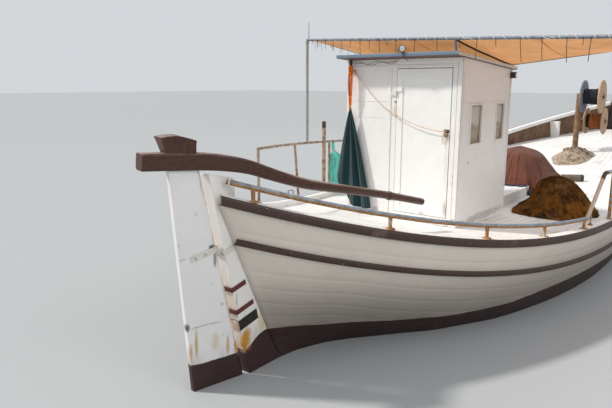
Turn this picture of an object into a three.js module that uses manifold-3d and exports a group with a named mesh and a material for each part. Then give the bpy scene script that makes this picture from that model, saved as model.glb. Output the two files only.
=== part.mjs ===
// Traditional double-ended wooden fishing boat with an outboard rudder, a small wheelhouse and an awning.
// Millimetres. +X is forward, +Y is port, +Z is up. The origin is on the centreline at the waterline.
import * as THREE from "three";
import { mergeVertices } from "three/addons/utils/BufferGeometryUtils.js";
import Module from "manifold-3d";

const wasm = await Module();
wasm.setup();

// Driving dimensions of the hull
const GAP = 0.3;
const HALF_BEAM = 1900;
const WIDEST_X = 1400;
const LOWEST_X = -200;
const STERN_END_X = -5020;
const BOW_END_X = 8350;
const HOOD_STERN_X = -4960;
const HOOD_BOW_X = 8320;
const STERN_FULLNESS = 2.94;
const BOW_FULLNESS = 2.3;
const LOWEST_SHEER = 808;
const STERN_SHEER_RISE = 15.1;
const STERN_SHEER_POWER = 2.5;
const BOW_SHEER_RISE = 1130;
const BOW_SHEER_POWER = 1.6;
const BULWARK_SHARE = 0.5;
const PLANK_THICKNESS = 45;
const POST_HALF = 50;
const PLANK_HEM = 8;
const CAP_WIDTH = 95;
const CAP_HEIGHT = 75;
const DECK_BELOW_CAP = 65;
const DECK_THICKNESS = 35;
const DECK_CAMBER = 50;
const KEEL_BOTTOM = -960;
const SKEG_TOP = -760;

// Where the planks meet the centreline timbers, from the sternpost head to the stem head: columns x, z
const RABBET = [
  [-4960, 1560],
  [-4834, 1280],
  [-4410, 330],
  [-4350, 200],
  [-4270, 60],
  [-4150, -60],
  [-3950, -190],
  [-3600, -320],
  [-3000, -440],
  [-2000, -545],
  [-800, -600],
  [2600, -620],
  [4600, -590],
  [6000, -520],
  [6900, -390],
  [7350, -190],
  [7640, 110],
  [7860, 520],
  [8060, 1020],
  [8210, 1480],
  [8320, 1940],
];

// How full the sections are along the hull: columns x, exponent
const FULLNESS = [
  [-4960, 1.0],
  [-4400, 1.7],
  [-4100, 2.15],
  [-3700, 1.8],
  [-3370, 1.3],
  [-2900, 0.85],
  [-2270, 0.6],
  [-1270, 0.48],
  [-200, 0.4],
  [1800, 0.4],
  [3400, 0.5],
  [4700, 0.72],
  [5900, 1.0],
  [6900, 1.3],
  [7600, 1.3],
  [8100, 1.1],
  [8320, 1.0],
];
const BILGE_POWER = 2.2;
const PLANK_LINES = [0, 0.06, 0.13, 0.22, 0.34, 0.48, 0.64, 0.82, 1];
const HULL_STATIONS = 24;
const FLOOR_FROM_X = -3950;
const FLOOR_TO_X = 6900;

// Rudder: its axis is raked and crosses the waterline at RUDDER_FOOT_X
const RUDDER_FOOT_X = -4639;
const RUDDER_RAKE = Math.atan(0.2221);
const RUDDER_REST_ANGLE = THREE.MathUtils.degToRad(-13);
const BLADE_HALF = 25;
const BLADE_NOSE_HALF = 8;
const BLADE_EDGE = 14;
const BLADE_BEVEL = 40;

// Wheelhouse
const HOUSE_AFT_X = -2200;
const HOUSE_FRONT_X = -850;
const HOUSE_HALF = 690;
const WALL = 40;
const HOUSE_TOP_AFT = 2590;
const HOUSE_TOP_FRONT = 2497;
const ROOF_THICKNESS = 38;
const ROOF_HALF = 722;
const ROOF_AFT_X = -2390;
const ROOF_FRONT_X = -750;
const WALL_FOOT = 600;

// Small helpers for numbers
const lerp = THREE.MathUtils.lerp;
const clamp = THREE.MathUtils.clamp;

function along(table, x) {
  if (x <= table[0][0]) return table[0][1];
  for (let i = 1; i < table.length; i += 1) {
    const [x1, y1] = table[i];
    const [x0, y0] = table[i - 1];
    if (x <= x1) return lerp(y0, y1, (x - x0) / (x1 - x0));
  }
  return table[table.length - 1][1];
}

// Plan and profile of the sheer
function halfBreadth(x) {
  const aft = clamp((WIDEST_X - x) / (WIDEST_X - STERN_END_X), 0, 1);
  const fore = clamp((x - WIDEST_X) / (BOW_END_X - WIDEST_X), 0, 1);
  const full = x < WIDEST_X ? 1 - aft ** STERN_FULLNESS : 1 - fore ** BOW_FULLNESS;
  return Math.max(HALF_BEAM * full, POST_HALF + PLANK_HEM);
}

function sheer(x) {
  const aft = Math.max(LOWEST_X - x, 0) / 1000;
  const fore = Math.max(x - LOWEST_X, 0) / (BOW_END_X - LOWEST_X);
  const rise = STERN_SHEER_RISE * aft ** STERN_SHEER_POWER + BOW_SHEER_RISE * fore ** BOW_SHEER_POWER;
  return LOWEST_SHEER + rise;
}

// A point at the hull's edge, moved inboard square to the edge and up from the sheer. Side is 1 or -1.
function edgePoint(x, inboard, up, side) {
  const step = 20;
  const slope = (halfBreadth(x + step) - halfBreadth(x - step)) / (2 * step);
  const length = Math.hypot(slope, 1);
  const room = (halfBreadth(x) - POST_HALF - GAP) * length;
  const reach = Math.min(inboard, room);
  const y = halfBreadth(x) - reach / length;
  return new THREE.Vector3(x + (reach * slope) / length, side * y, sheer(x) + up);
}

function hullHalfBreadth(x, z) {
  const foot = along(RABBET, x);
  const share = clamp((z - foot) / (sheer(x) - foot), 0, 1);
  const rise = (1 - (1 - share) ** BILGE_POWER) ** along(FULLNESS, x);
  const hem = POST_HALF + PLANK_HEM;
  return hem + Math.max(halfBreadth(x) - hem, 0) * rise;
}

// Closed solids from rings, grids and outlines
function indexed(vertices, faces) {
  const geometry = new THREE.BufferGeometry();
  const flat = vertices.flatMap((v) => [v.x, v.y, v.z]);
  geometry.setAttribute("position", new THREE.Float32BufferAttribute(flat, 3));
  geometry.setIndex(faces.flat());
  return facingOut(geometry);
}

function volumeOf(geometry) {
  const p = geometry.getAttribute("position");
  const index = geometry.index.array;
  const [a, b, c] = [new THREE.Vector3(), new THREE.Vector3(), new THREE.Vector3()];
  let volume = 0;
  for (let i = 0; i < index.length; i += 3) {
    a.fromBufferAttribute(p, index[i]);
    b.fromBufferAttribute(p, index[i + 1]);
    c.fromBufferAttribute(p, index[i + 2]);
    volume += a.dot(b.cross(c)) / 6;
  }
  return volume;
}

function facingOut(geometry) {
  if (volumeOf(geometry) > 0) return geometry;
  const index = geometry.index.array;
  for (let i = 0; i < index.length; i += 3) {
    const keep = index[i + 1];
    index[i + 1] = index[i + 2];
    index[i + 2] = keep;
  }
  return geometry;
}

// Rings of the same number of points become one skin with flat ends
function loft(rings) {
  const n = rings[0].length;
  const vertices = rings.flat();
  const faces = [];
  for (let i = 0; i < rings.length - 1; i += 1) {
    for (let j = 0; j < n; j += 1) {
      const k = (j + 1) % n;
      const [a, b, c, d] = [i * n + j, i * n + k, (i + 1) * n + k, (i + 1) * n + j];
      faces.push([a, b, c], [a, c, d]);
    }
  }
  const last = (rings.length - 1) * n;
  const flat = (ring) => {
    const centre = new THREE.Vector3();
    ring.forEach((v) => centre.addScaledVector(v, 1 / n));
    return centre;
  };
  vertices.push(flat(rings[0]), flat(rings[rings.length - 1]));
  const [start, end] = [vertices.length - 2, vertices.length - 1];
  for (let j = 0; j < n; j += 1) {
    const k = (j + 1) % n;
    faces.push([start, k, j], [end, last + j, last + k]);
  }
  return indexed(vertices, faces);
}

// Two grids of points, one on each side of a sheet, become one closed sheet
function shell(outer, inner) {
  const rows = outer.length;
  const cols = outer[0].length;
  const vertices = [...outer.flat(), ...inner.flat()];
  const half = rows * cols;
  const at = (i, j) => i * cols + j;
  const faces = [];
  for (let i = 0; i < rows - 1; i += 1) {
    for (let j = 0; j < cols - 1; j += 1) {
      const [a, b, c, d] = [at(i, j), at(i, j + 1), at(i + 1, j + 1), at(i + 1, j)];
      faces.push([a, b, c], [a, c, d]);
      faces.push([half + c, half + b, half + a], [half + d, half + c, half + a]);
    }
  }
  const rim = [];
  for (let j = 0; j < cols - 1; j += 1) rim.push(at(0, j));
  for (let i = 0; i < rows - 1; i += 1) rim.push(at(i, cols - 1));
  for (let j = cols - 1; j > 0; j -= 1) rim.push(at(rows - 1, j));
  for (let i = rows - 1; i > 0; i -= 1) rim.push(at(i, 0));
  rim.forEach((a, k) => {
    const b = rim[(k + 1) % rim.length];
    faces.push([b, a, half + a], [half + b, b, half + a]);
  });
  return indexed(vertices, faces);
}

function box(x0, x1, y0, y1, z0, z1) {
  const geometry = new THREE.BoxGeometry(x1 - x0, y1 - y0, z1 - z0);
  return geometry.translate((x0 + x1) / 2, (y0 + y1) / 2, (z0 + z1) / 2);
}

// An outline in x and z, as thick as y0 to y1
function prism(outline, y0, y1) {
  const shape = new THREE.Shape(outline.map(([x, z]) => new THREE.Vector2(x, z)));
  const geometry = new THREE.ExtrudeGeometry(shape, { depth: y1 - y0, bevelEnabled: false });
  return geometry.rotateX(Math.PI / 2).translate(0, y1, 0);
}

// An outline in x and y, as high as z0 to z1
function plate(outline, z0, z1) {
  const shape = new THREE.Shape(outline.map(([x, y]) => new THREE.Vector2(x, y)));
  const geometry = new THREE.ExtrudeGeometry(shape, { depth: z1 - z0, bevelEnabled: false });
  return geometry.translate(0, 0, z0);
}

function circle(radius, sides) {
  const shape = new THREE.Shape();
  for (let i = 0; i < sides; i += 1) {
    const turn = (2 * Math.PI * (i + 0.5)) / sides;
    const [x, y] = [radius * Math.cos(turn), radius * Math.sin(turn)];
    if (i === 0) shape.moveTo(x, y);
    else shape.lineTo(x, y);
  }
  return shape;
}

function pipe(points, radius, sides = 8, steps = 1) {
  const path = new THREE.CurvePath();
  for (let i = 0; i < points.length - 1; i += 1) path.add(new THREE.LineCurve3(points[i], points[i + 1]));
  const curve = steps > 1 ? new THREE.CatmullRomCurve3(points, false, "centripetal") : path.curves[0];
  const options = { steps, extrudePath: curve, bevelEnabled: false };
  return new THREE.ExtrudeGeometry(circle(radius, sides), options);
}

function rod(a, b, radius, sides = 8) {
  return pipe([a, b], radius, sides);
}

const point = (x, y, z) => new THREE.Vector3(x, y, z);

// Cutting and joining
function solid(geometry) {
  const bare = geometry.clone();
  bare.deleteAttribute("normal");
  bare.deleteAttribute("uv");
  const merged = mergeVertices(bare, 1e-4);
  return new wasm.Manifold(
    new wasm.Mesh({
      numProp: 3,
      vertProperties: merged.getAttribute("position").array,
      triVerts: new Uint32Array(merged.index.array),
    }),
  );
}

function geometryOf(manifold) {
  const made = manifold.getMesh();
  const geometry = new THREE.BufferGeometry();
  geometry.setAttribute("position", new THREE.BufferAttribute(made.vertProperties, 3));
  geometry.setIndex(new THREE.BufferAttribute(made.triVerts, 1));
  return geometry;
}

function join(...geometries) {
  return geometryOf(geometries.map(solid).reduce((all, next) => all.add(next)));
}

function cut(geometry, ...tools) {
  return geometryOf(tools.map(solid).reduce((left, tool) => left.subtract(tool), solid(geometry)));
}

function mainPart(geometry) {
  const parts = solid(geometry).decompose();
  return geometryOf(parts.reduce((best, part) => (part.volume() > best.volume() ? part : best)));
}

// Materials
const paint = (colour, roughness, metalness = 0) =>
  new THREE.MeshStandardMaterial({ color: colour, roughness, metalness });
const WHITE_PAINT = paint(0xe4e2dc, 0.5);
const BROWN_PAINT = paint(0x4a3128, 0.55);
const BOTTOM_PAINT = paint(0x5c3430, 0.8);
const RED_METAL = paint(0x5a2a28, 0.6, 0.3);
const VARNISH = paint(0x4d3020, 0.4);
const DECK_PAINT = paint(0xd8d6d0, 0.7);
const STEEL = paint(0x8c8f90, 0.5, 0.8);
const WHITE_PIPE = paint(0xd9d9d6, 0.4, 0.3);
const ROOF_PAINT = paint(0x7d8796, 0.6);
const GLASS = paint(0x2a3236, 0.1);
const CANVAS_CLOTH = paint(0xc9b48d, 0.9);
const BRONZE = paint(0x9a7a45, 0.4, 0.9);
const DARK = paint(0x1c1c1e, 0.6);
const NET_BROWN = paint(0x7a4a30, 0.95);
const NET_BLUE = paint(0x2f7f86, 0.95);
const CLOTH_GREEN = paint(0x1f3b36, 0.95);
const COVER_MAROON = paint(0x3a1c20, 0.9);
const ROPE = paint(0xb58a5a, 0.9);

const boat = new THREE.Group();

function add(name, geometry, material, group = boat) {
  const mesh = new THREE.Mesh(geometry, material);
  mesh.name = name;
  group.add(mesh);
  return mesh;
}

// Hull planking: one side's skin, from the rabbet to under the cap rail
function floorLine(x) {
  return along(RABBET, clamp(x, FLOOR_FROM_X, FLOOR_TO_X));
}

function plankTop(x) {
  return sheer(x) - CAP_HEIGHT - GAP;
}

function plankLineZ(x, share) {
  return lerp(floorLine(x), plankTop(x), share);
}

function rabbetCrossing(share, outer, inner) {
  let [far, near] = [outer, inner];
  for (let i = 0; i < 40; i += 1) {
    const middle = (far + near) / 2;
    const above = along(RABBET, middle) > plankLineZ(middle, share);
    if (above) far = middle;
    else near = middle;
  }
  return near;
}

function skinPoint(x, z, side) {
  return point(x, side * hullHalfBreadth(x, z), z);
}

// Stations of one plank line, closer together at its two ends
function stationsOf(share) {
  const from = share === 0 ? FLOOR_FROM_X : rabbetCrossing(share, HOOD_STERN_X, FLOOR_FROM_X);
  const to = share === 0 ? FLOOR_TO_X : rabbetCrossing(share, HOOD_BOW_X, FLOOR_TO_X);
  return Array.from({ length: HULL_STATIONS + 1 }, (_, i) => {
    const even = i / HULL_STATIONS;
    const eased = 0.5 - 0.5 * Math.cos(Math.PI * even);
    return lerp(from, to, 0.45 * even + 0.55 * eased);
  });
}

const SHEER_STATIONS = stationsOf(1);

function planking(side, grow = 0) {
  const outer = [];
  const inner = [];
  const limit = POST_HALF + GAP;
  PLANK_LINES.forEach((share) => {
    const outerRow = [];
    const innerRow = [];
    stationsOf(share).forEach((x) => {
      const z = plankLineZ(x, share);
      const here = skinPoint(x, z, side);
      const ahead = skinPoint(x + 10, z, side);
      const above = skinPoint(x, z + 10, side);
      const normal = ahead.sub(here).cross(above.sub(here)).normalize();
      if (normal.y * side < 0) normal.negate();
      const slack = (Math.abs(here.y) - limit) / Math.max(Math.abs(normal.y), 0.01);
      const deep = here.clone().addScaledVector(normal, -Math.min(PLANK_THICKNESS + grow, slack));
      if (share === 1) deep.z = z;
      if (Math.abs(deep.y) < limit + 0.01) deep.y = side * limit;
      here.addScaledVector(normal, grow);
      if (share === 1) {
        here.z = z + grow;
        deep.z = z + grow;
      }
      outerRow.push(here);
      innerRow.push(deep);
    });
    outer.push(outerRow);
    inner.push(innerRow);
  });
  return shell(outer, inner);
}

add("hull_planking_port", planking(1), WHITE_PAINT);
add("hull_planking_starboard", planking(-1), WHITE_PAINT);

// Centreline timbers. The rudder's axis runs just aft of the sternpost.
const axisX = (z) => RUDDER_FOOT_X - z * Math.tan(RUDDER_RAKE);
const POST_FACE = BLADE_EDGE / Math.cos(RUDDER_RAKE);
const postAft = (z) => axisX(z) + POST_FACE;
const POST_HEAD = 1640;
const APERTURE_AFT = -4385;
const APERTURE_FRONT = -4085;
const APERTURE_TOP = -190;
const sternPostOutline = [
  [postAft(SKEG_TOP + GAP), SKEG_TOP + GAP],
  [APERTURE_AFT, SKEG_TOP + GAP],
  [APERTURE_AFT, APERTURE_TOP + 2 * GAP],
  [-4300 - GAP, -170 + GAP],
  [-4290 - GAP, 140],
  [-4735, 1290],
  [-4735, POST_HEAD],
  [postAft(POST_HEAD), POST_HEAD],
];
add("stern_post", prism(sternPostOutline, -POST_HALF, POST_HALF), WHITE_PAINT);

const deadwoodOutline = [
  [APERTURE_AFT + GAP, APERTURE_TOP],
  [APERTURE_FRONT, APERTURE_TOP],
  [APERTURE_FRONT, SKEG_TOP + GAP],
  [-2600, SKEG_TOP + GAP],
  [-2600, -440],
  [-3000, -360],
  [-3600, -230],
  [-3900, -110],
  [-4080, 10],
  [-4290, 139],
  [-4300, -170],
];
add("deadwood", prism(deadwoodOutline, -POST_HALF, POST_HALF), BOTTOM_PAINT);

const keelOutline = [
  [-4780, KEEL_BOTTOM],
  [6300, KEEL_BOTTOM + 60],
  [6900, -720],
  [6900, -340],
  [6000, -440],
  [-2599.7, -440],
  [-2599.7, SKEG_TOP],
  [-4780, SKEG_TOP],
];
add("keel", prism(keelOutline, -POST_HALF, POST_HALF), BOTTOM_PAINT);

const stemFront = [
  [6900.3, -720],
  [7300, -560],
  [7640, -260],
  [7900, 180],
  [8100, 700],
  [8280, 1300],
  [8400, 1800],
  [8450, 2120],
];
const stemBack = [
  [8270, 2120],
  [8200, 1850],
  [8080, 1440],
  [7920, 980],
  [7720, 500],
  [7500, 80],
  [7220, -200],
  [6900.3, -340],
];
add("stem_post", prism([...stemFront, ...stemBack], -POST_HALF, POST_HALF), BROWN_PAINT);

// Cap rail on the planking edge, and the two rubbing bands outside it
function capSolid(side, grow) {
  const corners = [
    [-grow, grow],
    [CAP_WIDTH + grow, grow],
    [CAP_WIDTH + grow, -CAP_HEIGHT - grow],
    [-grow, -CAP_HEIGHT - grow],
  ];
  return loft(SHEER_STATIONS.map((x) => corners.map(([inboard, up]) => edgePoint(x, inboard, up, side))));
}

const capRail = (side) => mainPart(cut(capSolid(side, 0), planking(side, GAP)));

const UPPER_BAND = { height: 72, proud: 30 };
const LOWER_BAND = { drop: 300, height: 52, proud: 26, bury: 40, from: -4765, to: 8100 };

// Half-round section of a band: columns outward share, downward share
const BAND_SECTION = [
  [0, 0],
  [0.75, -0.08],
  [1, -0.35],
  [1, -0.65],
  [0.75, -0.92],
  [0, -1],
];

function upperBand(side) {
  const ring = (x) =>
    BAND_SECTION.map(([out, down]) => {
      const outward = GAP + out * UPPER_BAND.proud;
      return edgePoint(x, -outward, down * UPPER_BAND.height, side);
    });
  return loft(SHEER_STATIONS.map(ring));
}

function lowerBand(side) {
  const ring = (x) =>
    BAND_SECTION.map(([out, down]) => {
      const z = sheer(x) - LOWER_BAND.drop + down * LOWER_BAND.height;
      const here = hullHalfBreadth(x, z);
      const slope = (hullHalfBreadth(x + 20, z) - here) / 20;
      const length = Math.hypot(slope, 1);
      const reach = out === 0 ? -LOWER_BAND.bury : out * LOWER_BAND.proud;
      return point(x - (reach * slope) / length, side * (here + reach / length), z);
    });
  const between = SHEER_STATIONS.filter((x) => x > LOWER_BAND.from && x < LOWER_BAND.to);
  const rings = [LOWER_BAND.from, ...between, LOWER_BAND.to].map(ring);
  return mainPart(cut(loft(rings), planking(side, GAP)));
}

[
  ["port", 1],
  ["starboard", -1],
].forEach(([word, side]) => {
  add(`cap_rail_${word}`, capRail(side), WHITE_PAINT);
  add(`upper_rubbing_band_${word}`, upperBand(side), BROWN_PAINT);
  add(`lower_rubbing_band_${word}`, lowerBand(side), BROWN_PAINT);
});

// Deck: a cambered plate between the cap rails
const DECK_CROSS = 6;

function deckEdgeZ(x) {
  const rise = x > LOWEST_X ? sheer(x) - LOWEST_SHEER : 0;
  return sheer(x) - DECK_BELOW_CAP - BULWARK_SHARE * rise;
}

function deckCentreRise(half) {
  return DECK_CAMBER * (half / HALF_BEAM) ** 2;
}

function deckRing(x, lift, drop) {
  const reach = x > LOWEST_X + 400 ? 10 : CAP_WIDTH + GAP;
  const edge = edgePoint(x, reach, 0, 1);
  const top = [];
  const bottom = [];
  for (let j = 0; j <= DECK_CROSS; j += 1) {
    const share = (2 * j) / DECK_CROSS - 1;
    const z = deckEdgeZ(x) + deckCentreRise(edge.y) * (1 - share * share);
    top.push(point(edge.x, share * edge.y, z + lift));
    bottom.unshift(point(edge.x, share * edge.y, z - drop));
  }
  return [...top, ...bottom];
}

function deckBody(lift, drop) {
  return loft(SHEER_STATIONS.map((x) => deckRing(x, lift, drop)));
}

const sternPostRoom = box(-5100, -4735 + GAP, -POST_HALF - GAP, POST_HALF + GAP, 1000, 2000);
const stemRoom = box(7900, 8500, -POST_HALF - GAP, POST_HALF + GAP, 900, 2200);
const sideRooms = [planking(1, GAP), planking(-1, GAP), capSolid(1, GAP), capSolid(-1, GAP)];
const deckPlate = cut(deckBody(0, DECK_THICKNESS), sternPostRoom, stemRoom, ...sideRooms);
add("deck", mainPart(deckPlate), DECK_PAINT);
const belowDeck = deckBody(GAP, 600);
const onDeck = (geometry) => cut(geometry, belowDeck);

// Wheelhouse walls
const houseShare = (x) => (x - HOUSE_AFT_X) / (HOUSE_FRONT_X - HOUSE_AFT_X);
const houseTop = (x) => lerp(HOUSE_TOP_AFT, HOUSE_TOP_FRONT, houseShare(x));
const wallSection = (x0, x1, drop) => [
  [x0, WALL_FOOT],
  [x1, WALL_FOOT],
  [x1, houseTop(x1) - drop],
  [x0, houseTop(x0) - drop],
];
// The sill stands high enough for the open door to pass over the deck, which rises towards the stern
const DOOR = { port: 46, starboard: -578, sill: 947, head: 2485, clearance: 6, thickness: 32 };
const DOOR_PANEL = { edge: 70, low: 1022, belowHead: 110, depth: 8 };
const doorway = box(
  HOUSE_AFT_X - 50,
  HOUSE_AFT_X + 90,
  DOOR.starboard - DOOR.clearance,
  DOOR.port + DOOR.clearance,
  DOOR.sill - DOOR.clearance,
  DOOR.head + DOOR.clearance,
);
const aftWall = prism(wallSection(HOUSE_AFT_X, HOUSE_AFT_X + WALL, 0), -HOUSE_HALF, HOUSE_HALF);
const ropeHook = box(HOUSE_AFT_X - 30, HOUSE_AFT_X + 1, 593, 605, 2452, 2472);
add("wheelhouse_aft_wall", join(cut(onDeck(aftWall), doorway), ropeHook), WHITE_PAINT);

// Small side windows: columns aft edge, forward edge
const SIDE_WINDOWS = { aft: [-1950, -1670], forward: [-1250, -1030] };
const SIDE_WINDOW_SILL = 1710;
const SIDE_WINDOW_HEAD = 2110;
const sideWindowHoles = Object.values(SIDE_WINDOWS).map(([from, to]) =>
  box(from, to, -900, 900, SIDE_WINDOW_SILL, SIDE_WINDOW_HEAD),
);
const sideSection = wallSection(HOUSE_AFT_X + WALL + GAP, HOUSE_FRONT_X - WALL - GAP, 0);
[
  ["port", HOUSE_HALF - WALL, HOUSE_HALF],
  ["starboard", -HOUSE_HALF, -HOUSE_HALF + WALL],
].forEach(([word, y0, y1]) => {
  const wall = onDeck(prism(sideSection, y0, y1));
  add(`wheelhouse_${word}_wall`, cut(wall, ...sideWindowHoles), WHITE_PAINT);
});

const FRONT_WINDOWS = { port: [90, 560], starboard: [-560, -90] };
const FRONT_WINDOW_SILL = 1650;
const FRONT_WINDOW_HEAD = 2150;
const frontWall = prism(wallSection(HOUSE_FRONT_X - WALL, HOUSE_FRONT_X, 0), -HOUSE_HALF, HOUSE_HALF);
const frontHoles = Object.values(FRONT_WINDOWS).map(([from, to]) =>
  box(-1000, -700, from, to, FRONT_WINDOW_SILL, FRONT_WINDOW_HEAD),
);
add("wheelhouse_front_wall", cut(onDeck(frontWall), ...frontHoles), WHITE_PAINT);
Object.entries(FRONT_WINDOWS).forEach(([word, [from, to]]) => {
  const middle = HOUSE_FRONT_X - WALL / 2;
  const pane = box(
    middle - 3,
    middle + 3,
    from + GAP,
    to - GAP,
    FRONT_WINDOW_SILL + GAP,
    FRONT_WINDOW_HEAD - GAP,
  );
  add(`window_glass_front_${word}`, pane, GLASS);
});

// Roof board, a sloping plate over the walls
const roofUnder = (x) => houseTop(x) + GAP;
const roofOutline = [
  [ROOF_AFT_X, roofUnder(ROOF_AFT_X)],
  [ROOF_FRONT_X, roofUnder(ROOF_FRONT_X)],
  [ROOF_FRONT_X, roofUnder(ROOF_FRONT_X) + ROOF_THICKNESS],
  [ROOF_AFT_X, roofUnder(ROOF_AFT_X) + ROOF_THICKNESS],
];
add("wheelhouse_roof", prism(roofOutline, -ROOF_HALF, ROOF_HALF), ROOF_PAINT);

// Wheelhouse door, hung on two hinges at its port edge. Its knuckles stand on those of the wall plates.
const HINGE_X = HOUSE_AFT_X - 14;
const HINGE_Y = DOOR.port + 4;
const HINGE_HEIGHTS = { lower: 1120, upper: 2250 };
const HINGE_RADIUS = 9;
const HINGE_LEAF = 3;
const DOOR_FACE = HOUSE_AFT_X - HINGE_LEAF;
const doorLeaf = box(
  DOOR_FACE,
  DOOR_FACE + DOOR.thickness,
  DOOR.starboard,
  DOOR.port,
  DOOR.sill,
  DOOR.head,
);
const panelRecess = box(
  DOOR_FACE - 10,
  DOOR_FACE + DOOR_PANEL.depth,
  DOOR.starboard + DOOR_PANEL.edge,
  DOOR.port - DOOR_PANEL.edge,
  DOOR_PANEL.low,
  DOOR.head - DOOR_PANEL.belowHead,
);
const doorKnuckles = Object.values(HINGE_HEIGHTS).flatMap((z) => [
  rod(point(HINGE_X, HINGE_Y, z + GAP), point(HINGE_X, HINGE_Y, z + 45), HINGE_RADIUS, 12),
  box(HINGE_X - 2, DOOR_FACE + 1, HINGE_Y - 66, HINGE_Y - 4, z + 2, z + 43),
]);
add("wheelhouse_door", join(cut(doorLeaf, panelRecess), ...doorKnuckles), WHITE_PAINT);

Object.entries(HINGE_HEIGHTS).forEach(([word, z]) => {
  const knuckle = rod(point(HINGE_X, HINGE_Y, z - 45), point(HINGE_X, HINGE_Y, z), HINGE_RADIUS, 12);
  const back = HOUSE_AFT_X - GAP;
  const leaf = box(HINGE_X - 2, back, HINGE_Y + 4, HINGE_Y + 66, z - 43, z - 2);
  add(`door_hinge_${word}`, join(knuckle, leaf), STEEL);
});

// Hasp and padlock on the door's free edge
const haspBase = box(DOOR_FACE - GAP - 4, DOOR_FACE - GAP, -575, -515, 1835, 1875);
const padlock = box(DOOR_FACE - GAP - 26, DOOR_FACE - GAP - 3, -566, -530, 1792, 1838);
const shackle = box(DOOR_FACE - GAP - 18, DOOR_FACE - GAP - 3, -556, -540, 1837, 1868);
add("door_hasp", join(haspBase, padlock, shackle), STEEL);

// Engine, one plain block on the keel
add("engine_block", box(-1900, -1000, -300, 300, -439.7, 260), DARK);

// Propeller with its shaft, in the aperture ahead of the sternpost
const SHAFT_Z = -460;
const SHAFT_RADIUS = 20;
const SHAFT_BORE = 20.2;
const HUB_FROM_X = -4310;
const HUB_TO_X = -4190;
const PROPELLER_RADIUS = 220;
const BLADES = 3;
const hubProfile = [
  [0, 0],
  [22, 8],
  [42, 40],
  [46, 80],
  [40, 120],
  [0, 120],
].map(([r, h]) => new THREE.Vector2(r, h));
const hub = new THREE.LatheGeometry(hubProfile, 16).rotateZ(-Math.PI / 2).translate(HUB_FROM_X, 0, SHAFT_Z);

function propellerBlade(turn) {
  const rings = [];
  const rows = [
    [30, 60, 58],
    [90, 118, 44],
    [150, 136, 34],
    [200, 96, 28],
    [PROPELLER_RADIUS, 34, 25],
  ];
  rows.forEach(([radius, chord, pitch]) => {
    const lean = THREE.MathUtils.degToRad(pitch);
    const thick = lerp(9, 4, radius / PROPELLER_RADIUS);
    const outline = [
      [-chord / 2, 0],
      [0, thick],
      [chord / 2, 0],
      [0, -thick],
    ];
    rings.push(
      outline.map(([along_, off]) => {
        const x = along_ * Math.sin(lean) + off * Math.cos(lean);
        const y = along_ * Math.cos(lean) - off * Math.sin(lean);
        return point(x, y, radius);
      }),
    );
  });
  const blade = loft(rings);
  return blade.rotateX(turn).translate((HUB_FROM_X + HUB_TO_X) / 2, 0, SHAFT_Z);
}

const bladeTurns = Array.from({ length: BLADES }, (_, i) => (2 * Math.PI * i) / BLADES);
const propellerBlades = bladeTurns.map(propellerBlade);
const HUB_HOLE_DEPTH = 60;
const hubHoleFrom = point(HUB_TO_X - HUB_HOLE_DEPTH, 0, SHAFT_Z);
const hubHole = rod(hubHoleFrom, point(HUB_TO_X + 20, 0, SHAFT_Z), SHAFT_RADIUS + GAP, 16);
add("propeller", cut(join(hub, ...propellerBlades), hubHole), BRONZE);
const shaftFrom = point(HUB_TO_X - HUB_HOLE_DEPTH + GAP, 0, SHAFT_Z);
const shaftTo = point(-3650, 0, SHAFT_Z);
add("propeller_shaft", rod(shaftFrom, shaftTo, SHAFT_RADIUS - 0.2, 16), STEEL);

const shaftBore = rod(point(-4300, 0, SHAFT_Z), point(-3640, 0, SHAFT_Z), SHAFT_BORE, 16);
const deadwood = boat.getObjectByName("deadwood");
deadwood.geometry = cut(deadwood.geometry, shaftBore);

// Rudder: its group stands on the raked axis and is turned to its parked angle
const rudder = new THREE.Group();
rudder.position.set(RUDDER_FOOT_X, 0, 0);
rudder.rotation.set(0, -RUDDER_RAKE, RUDDER_REST_ANGLE, "YXZ");
boat.add(rudder);
const RAKE_COS = Math.cos(RUDDER_RAKE);
const RAKE_SIN = Math.sin(RUDDER_RAKE);
const REST_COS = Math.cos(RUDDER_REST_ANGLE);

// A point of the tiller's side view, given in the boat's x and z, in the rudder group's frame
function inRudder(x, z, y = 0) {
  const ahead = x - RUDDER_FOOT_X;
  const forward = (ahead * RAKE_COS + z * RAKE_SIN) / REST_COS;
  return point(forward, y, z * RAKE_COS - ahead * RAKE_SIN);
}

// Tiller centreline: columns x, z, width, height
const TILLER = [
  [-5468, 1824, 108, 120],
  [-5030, 1792, 110, 122],
  [-4800, 1757, 106, 116],
  [-4620, 1712, 100, 108],
  [-4440, 1645, 94, 100],
  [-4170, 1552, 88, 92],
  [-3980, 1500, 84, 86],
  [-3610, 1420, 78, 78],
  [-3120, 1310, 72, 72],
  [-2615, 1181, 68, 68],
];
const TILLER_ROUND = 0.82;

function tillerRings(grow) {
  const centres = TILLER.map(([x, z]) => inRudder(x, z));
  return TILLER.map(([, , width, height], i) => {
    const before = centres[Math.max(i - 1, 0)];
    const after = centres[Math.min(i + 1, centres.length - 1)];
    const tangent = after.clone().sub(before).normalize();
    const up = point(-tangent.z, 0, tangent.x);
    const ring = [];
    for (let k = 0; k < 12; k += 1) {
      const turn = (2 * Math.PI * (k + 0.5)) / 12;
      const square = (c) => Math.sign(c) * Math.abs(c) ** TILLER_ROUND;
      const side = (width / 2 + grow) * square(Math.cos(turn));
      const rise = (height / 2 + grow) * square(Math.sin(turn));
      ring.push(centres[i].clone().addScaledVector(up, rise).add(point(0, side, 0)));
    }
    return ring;
  });
}

const tiller = loft(tillerRings(0));
const tillerRoom = loft(tillerRings(GAP));
add("tiller", tiller, VARNISH, rudder);

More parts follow.
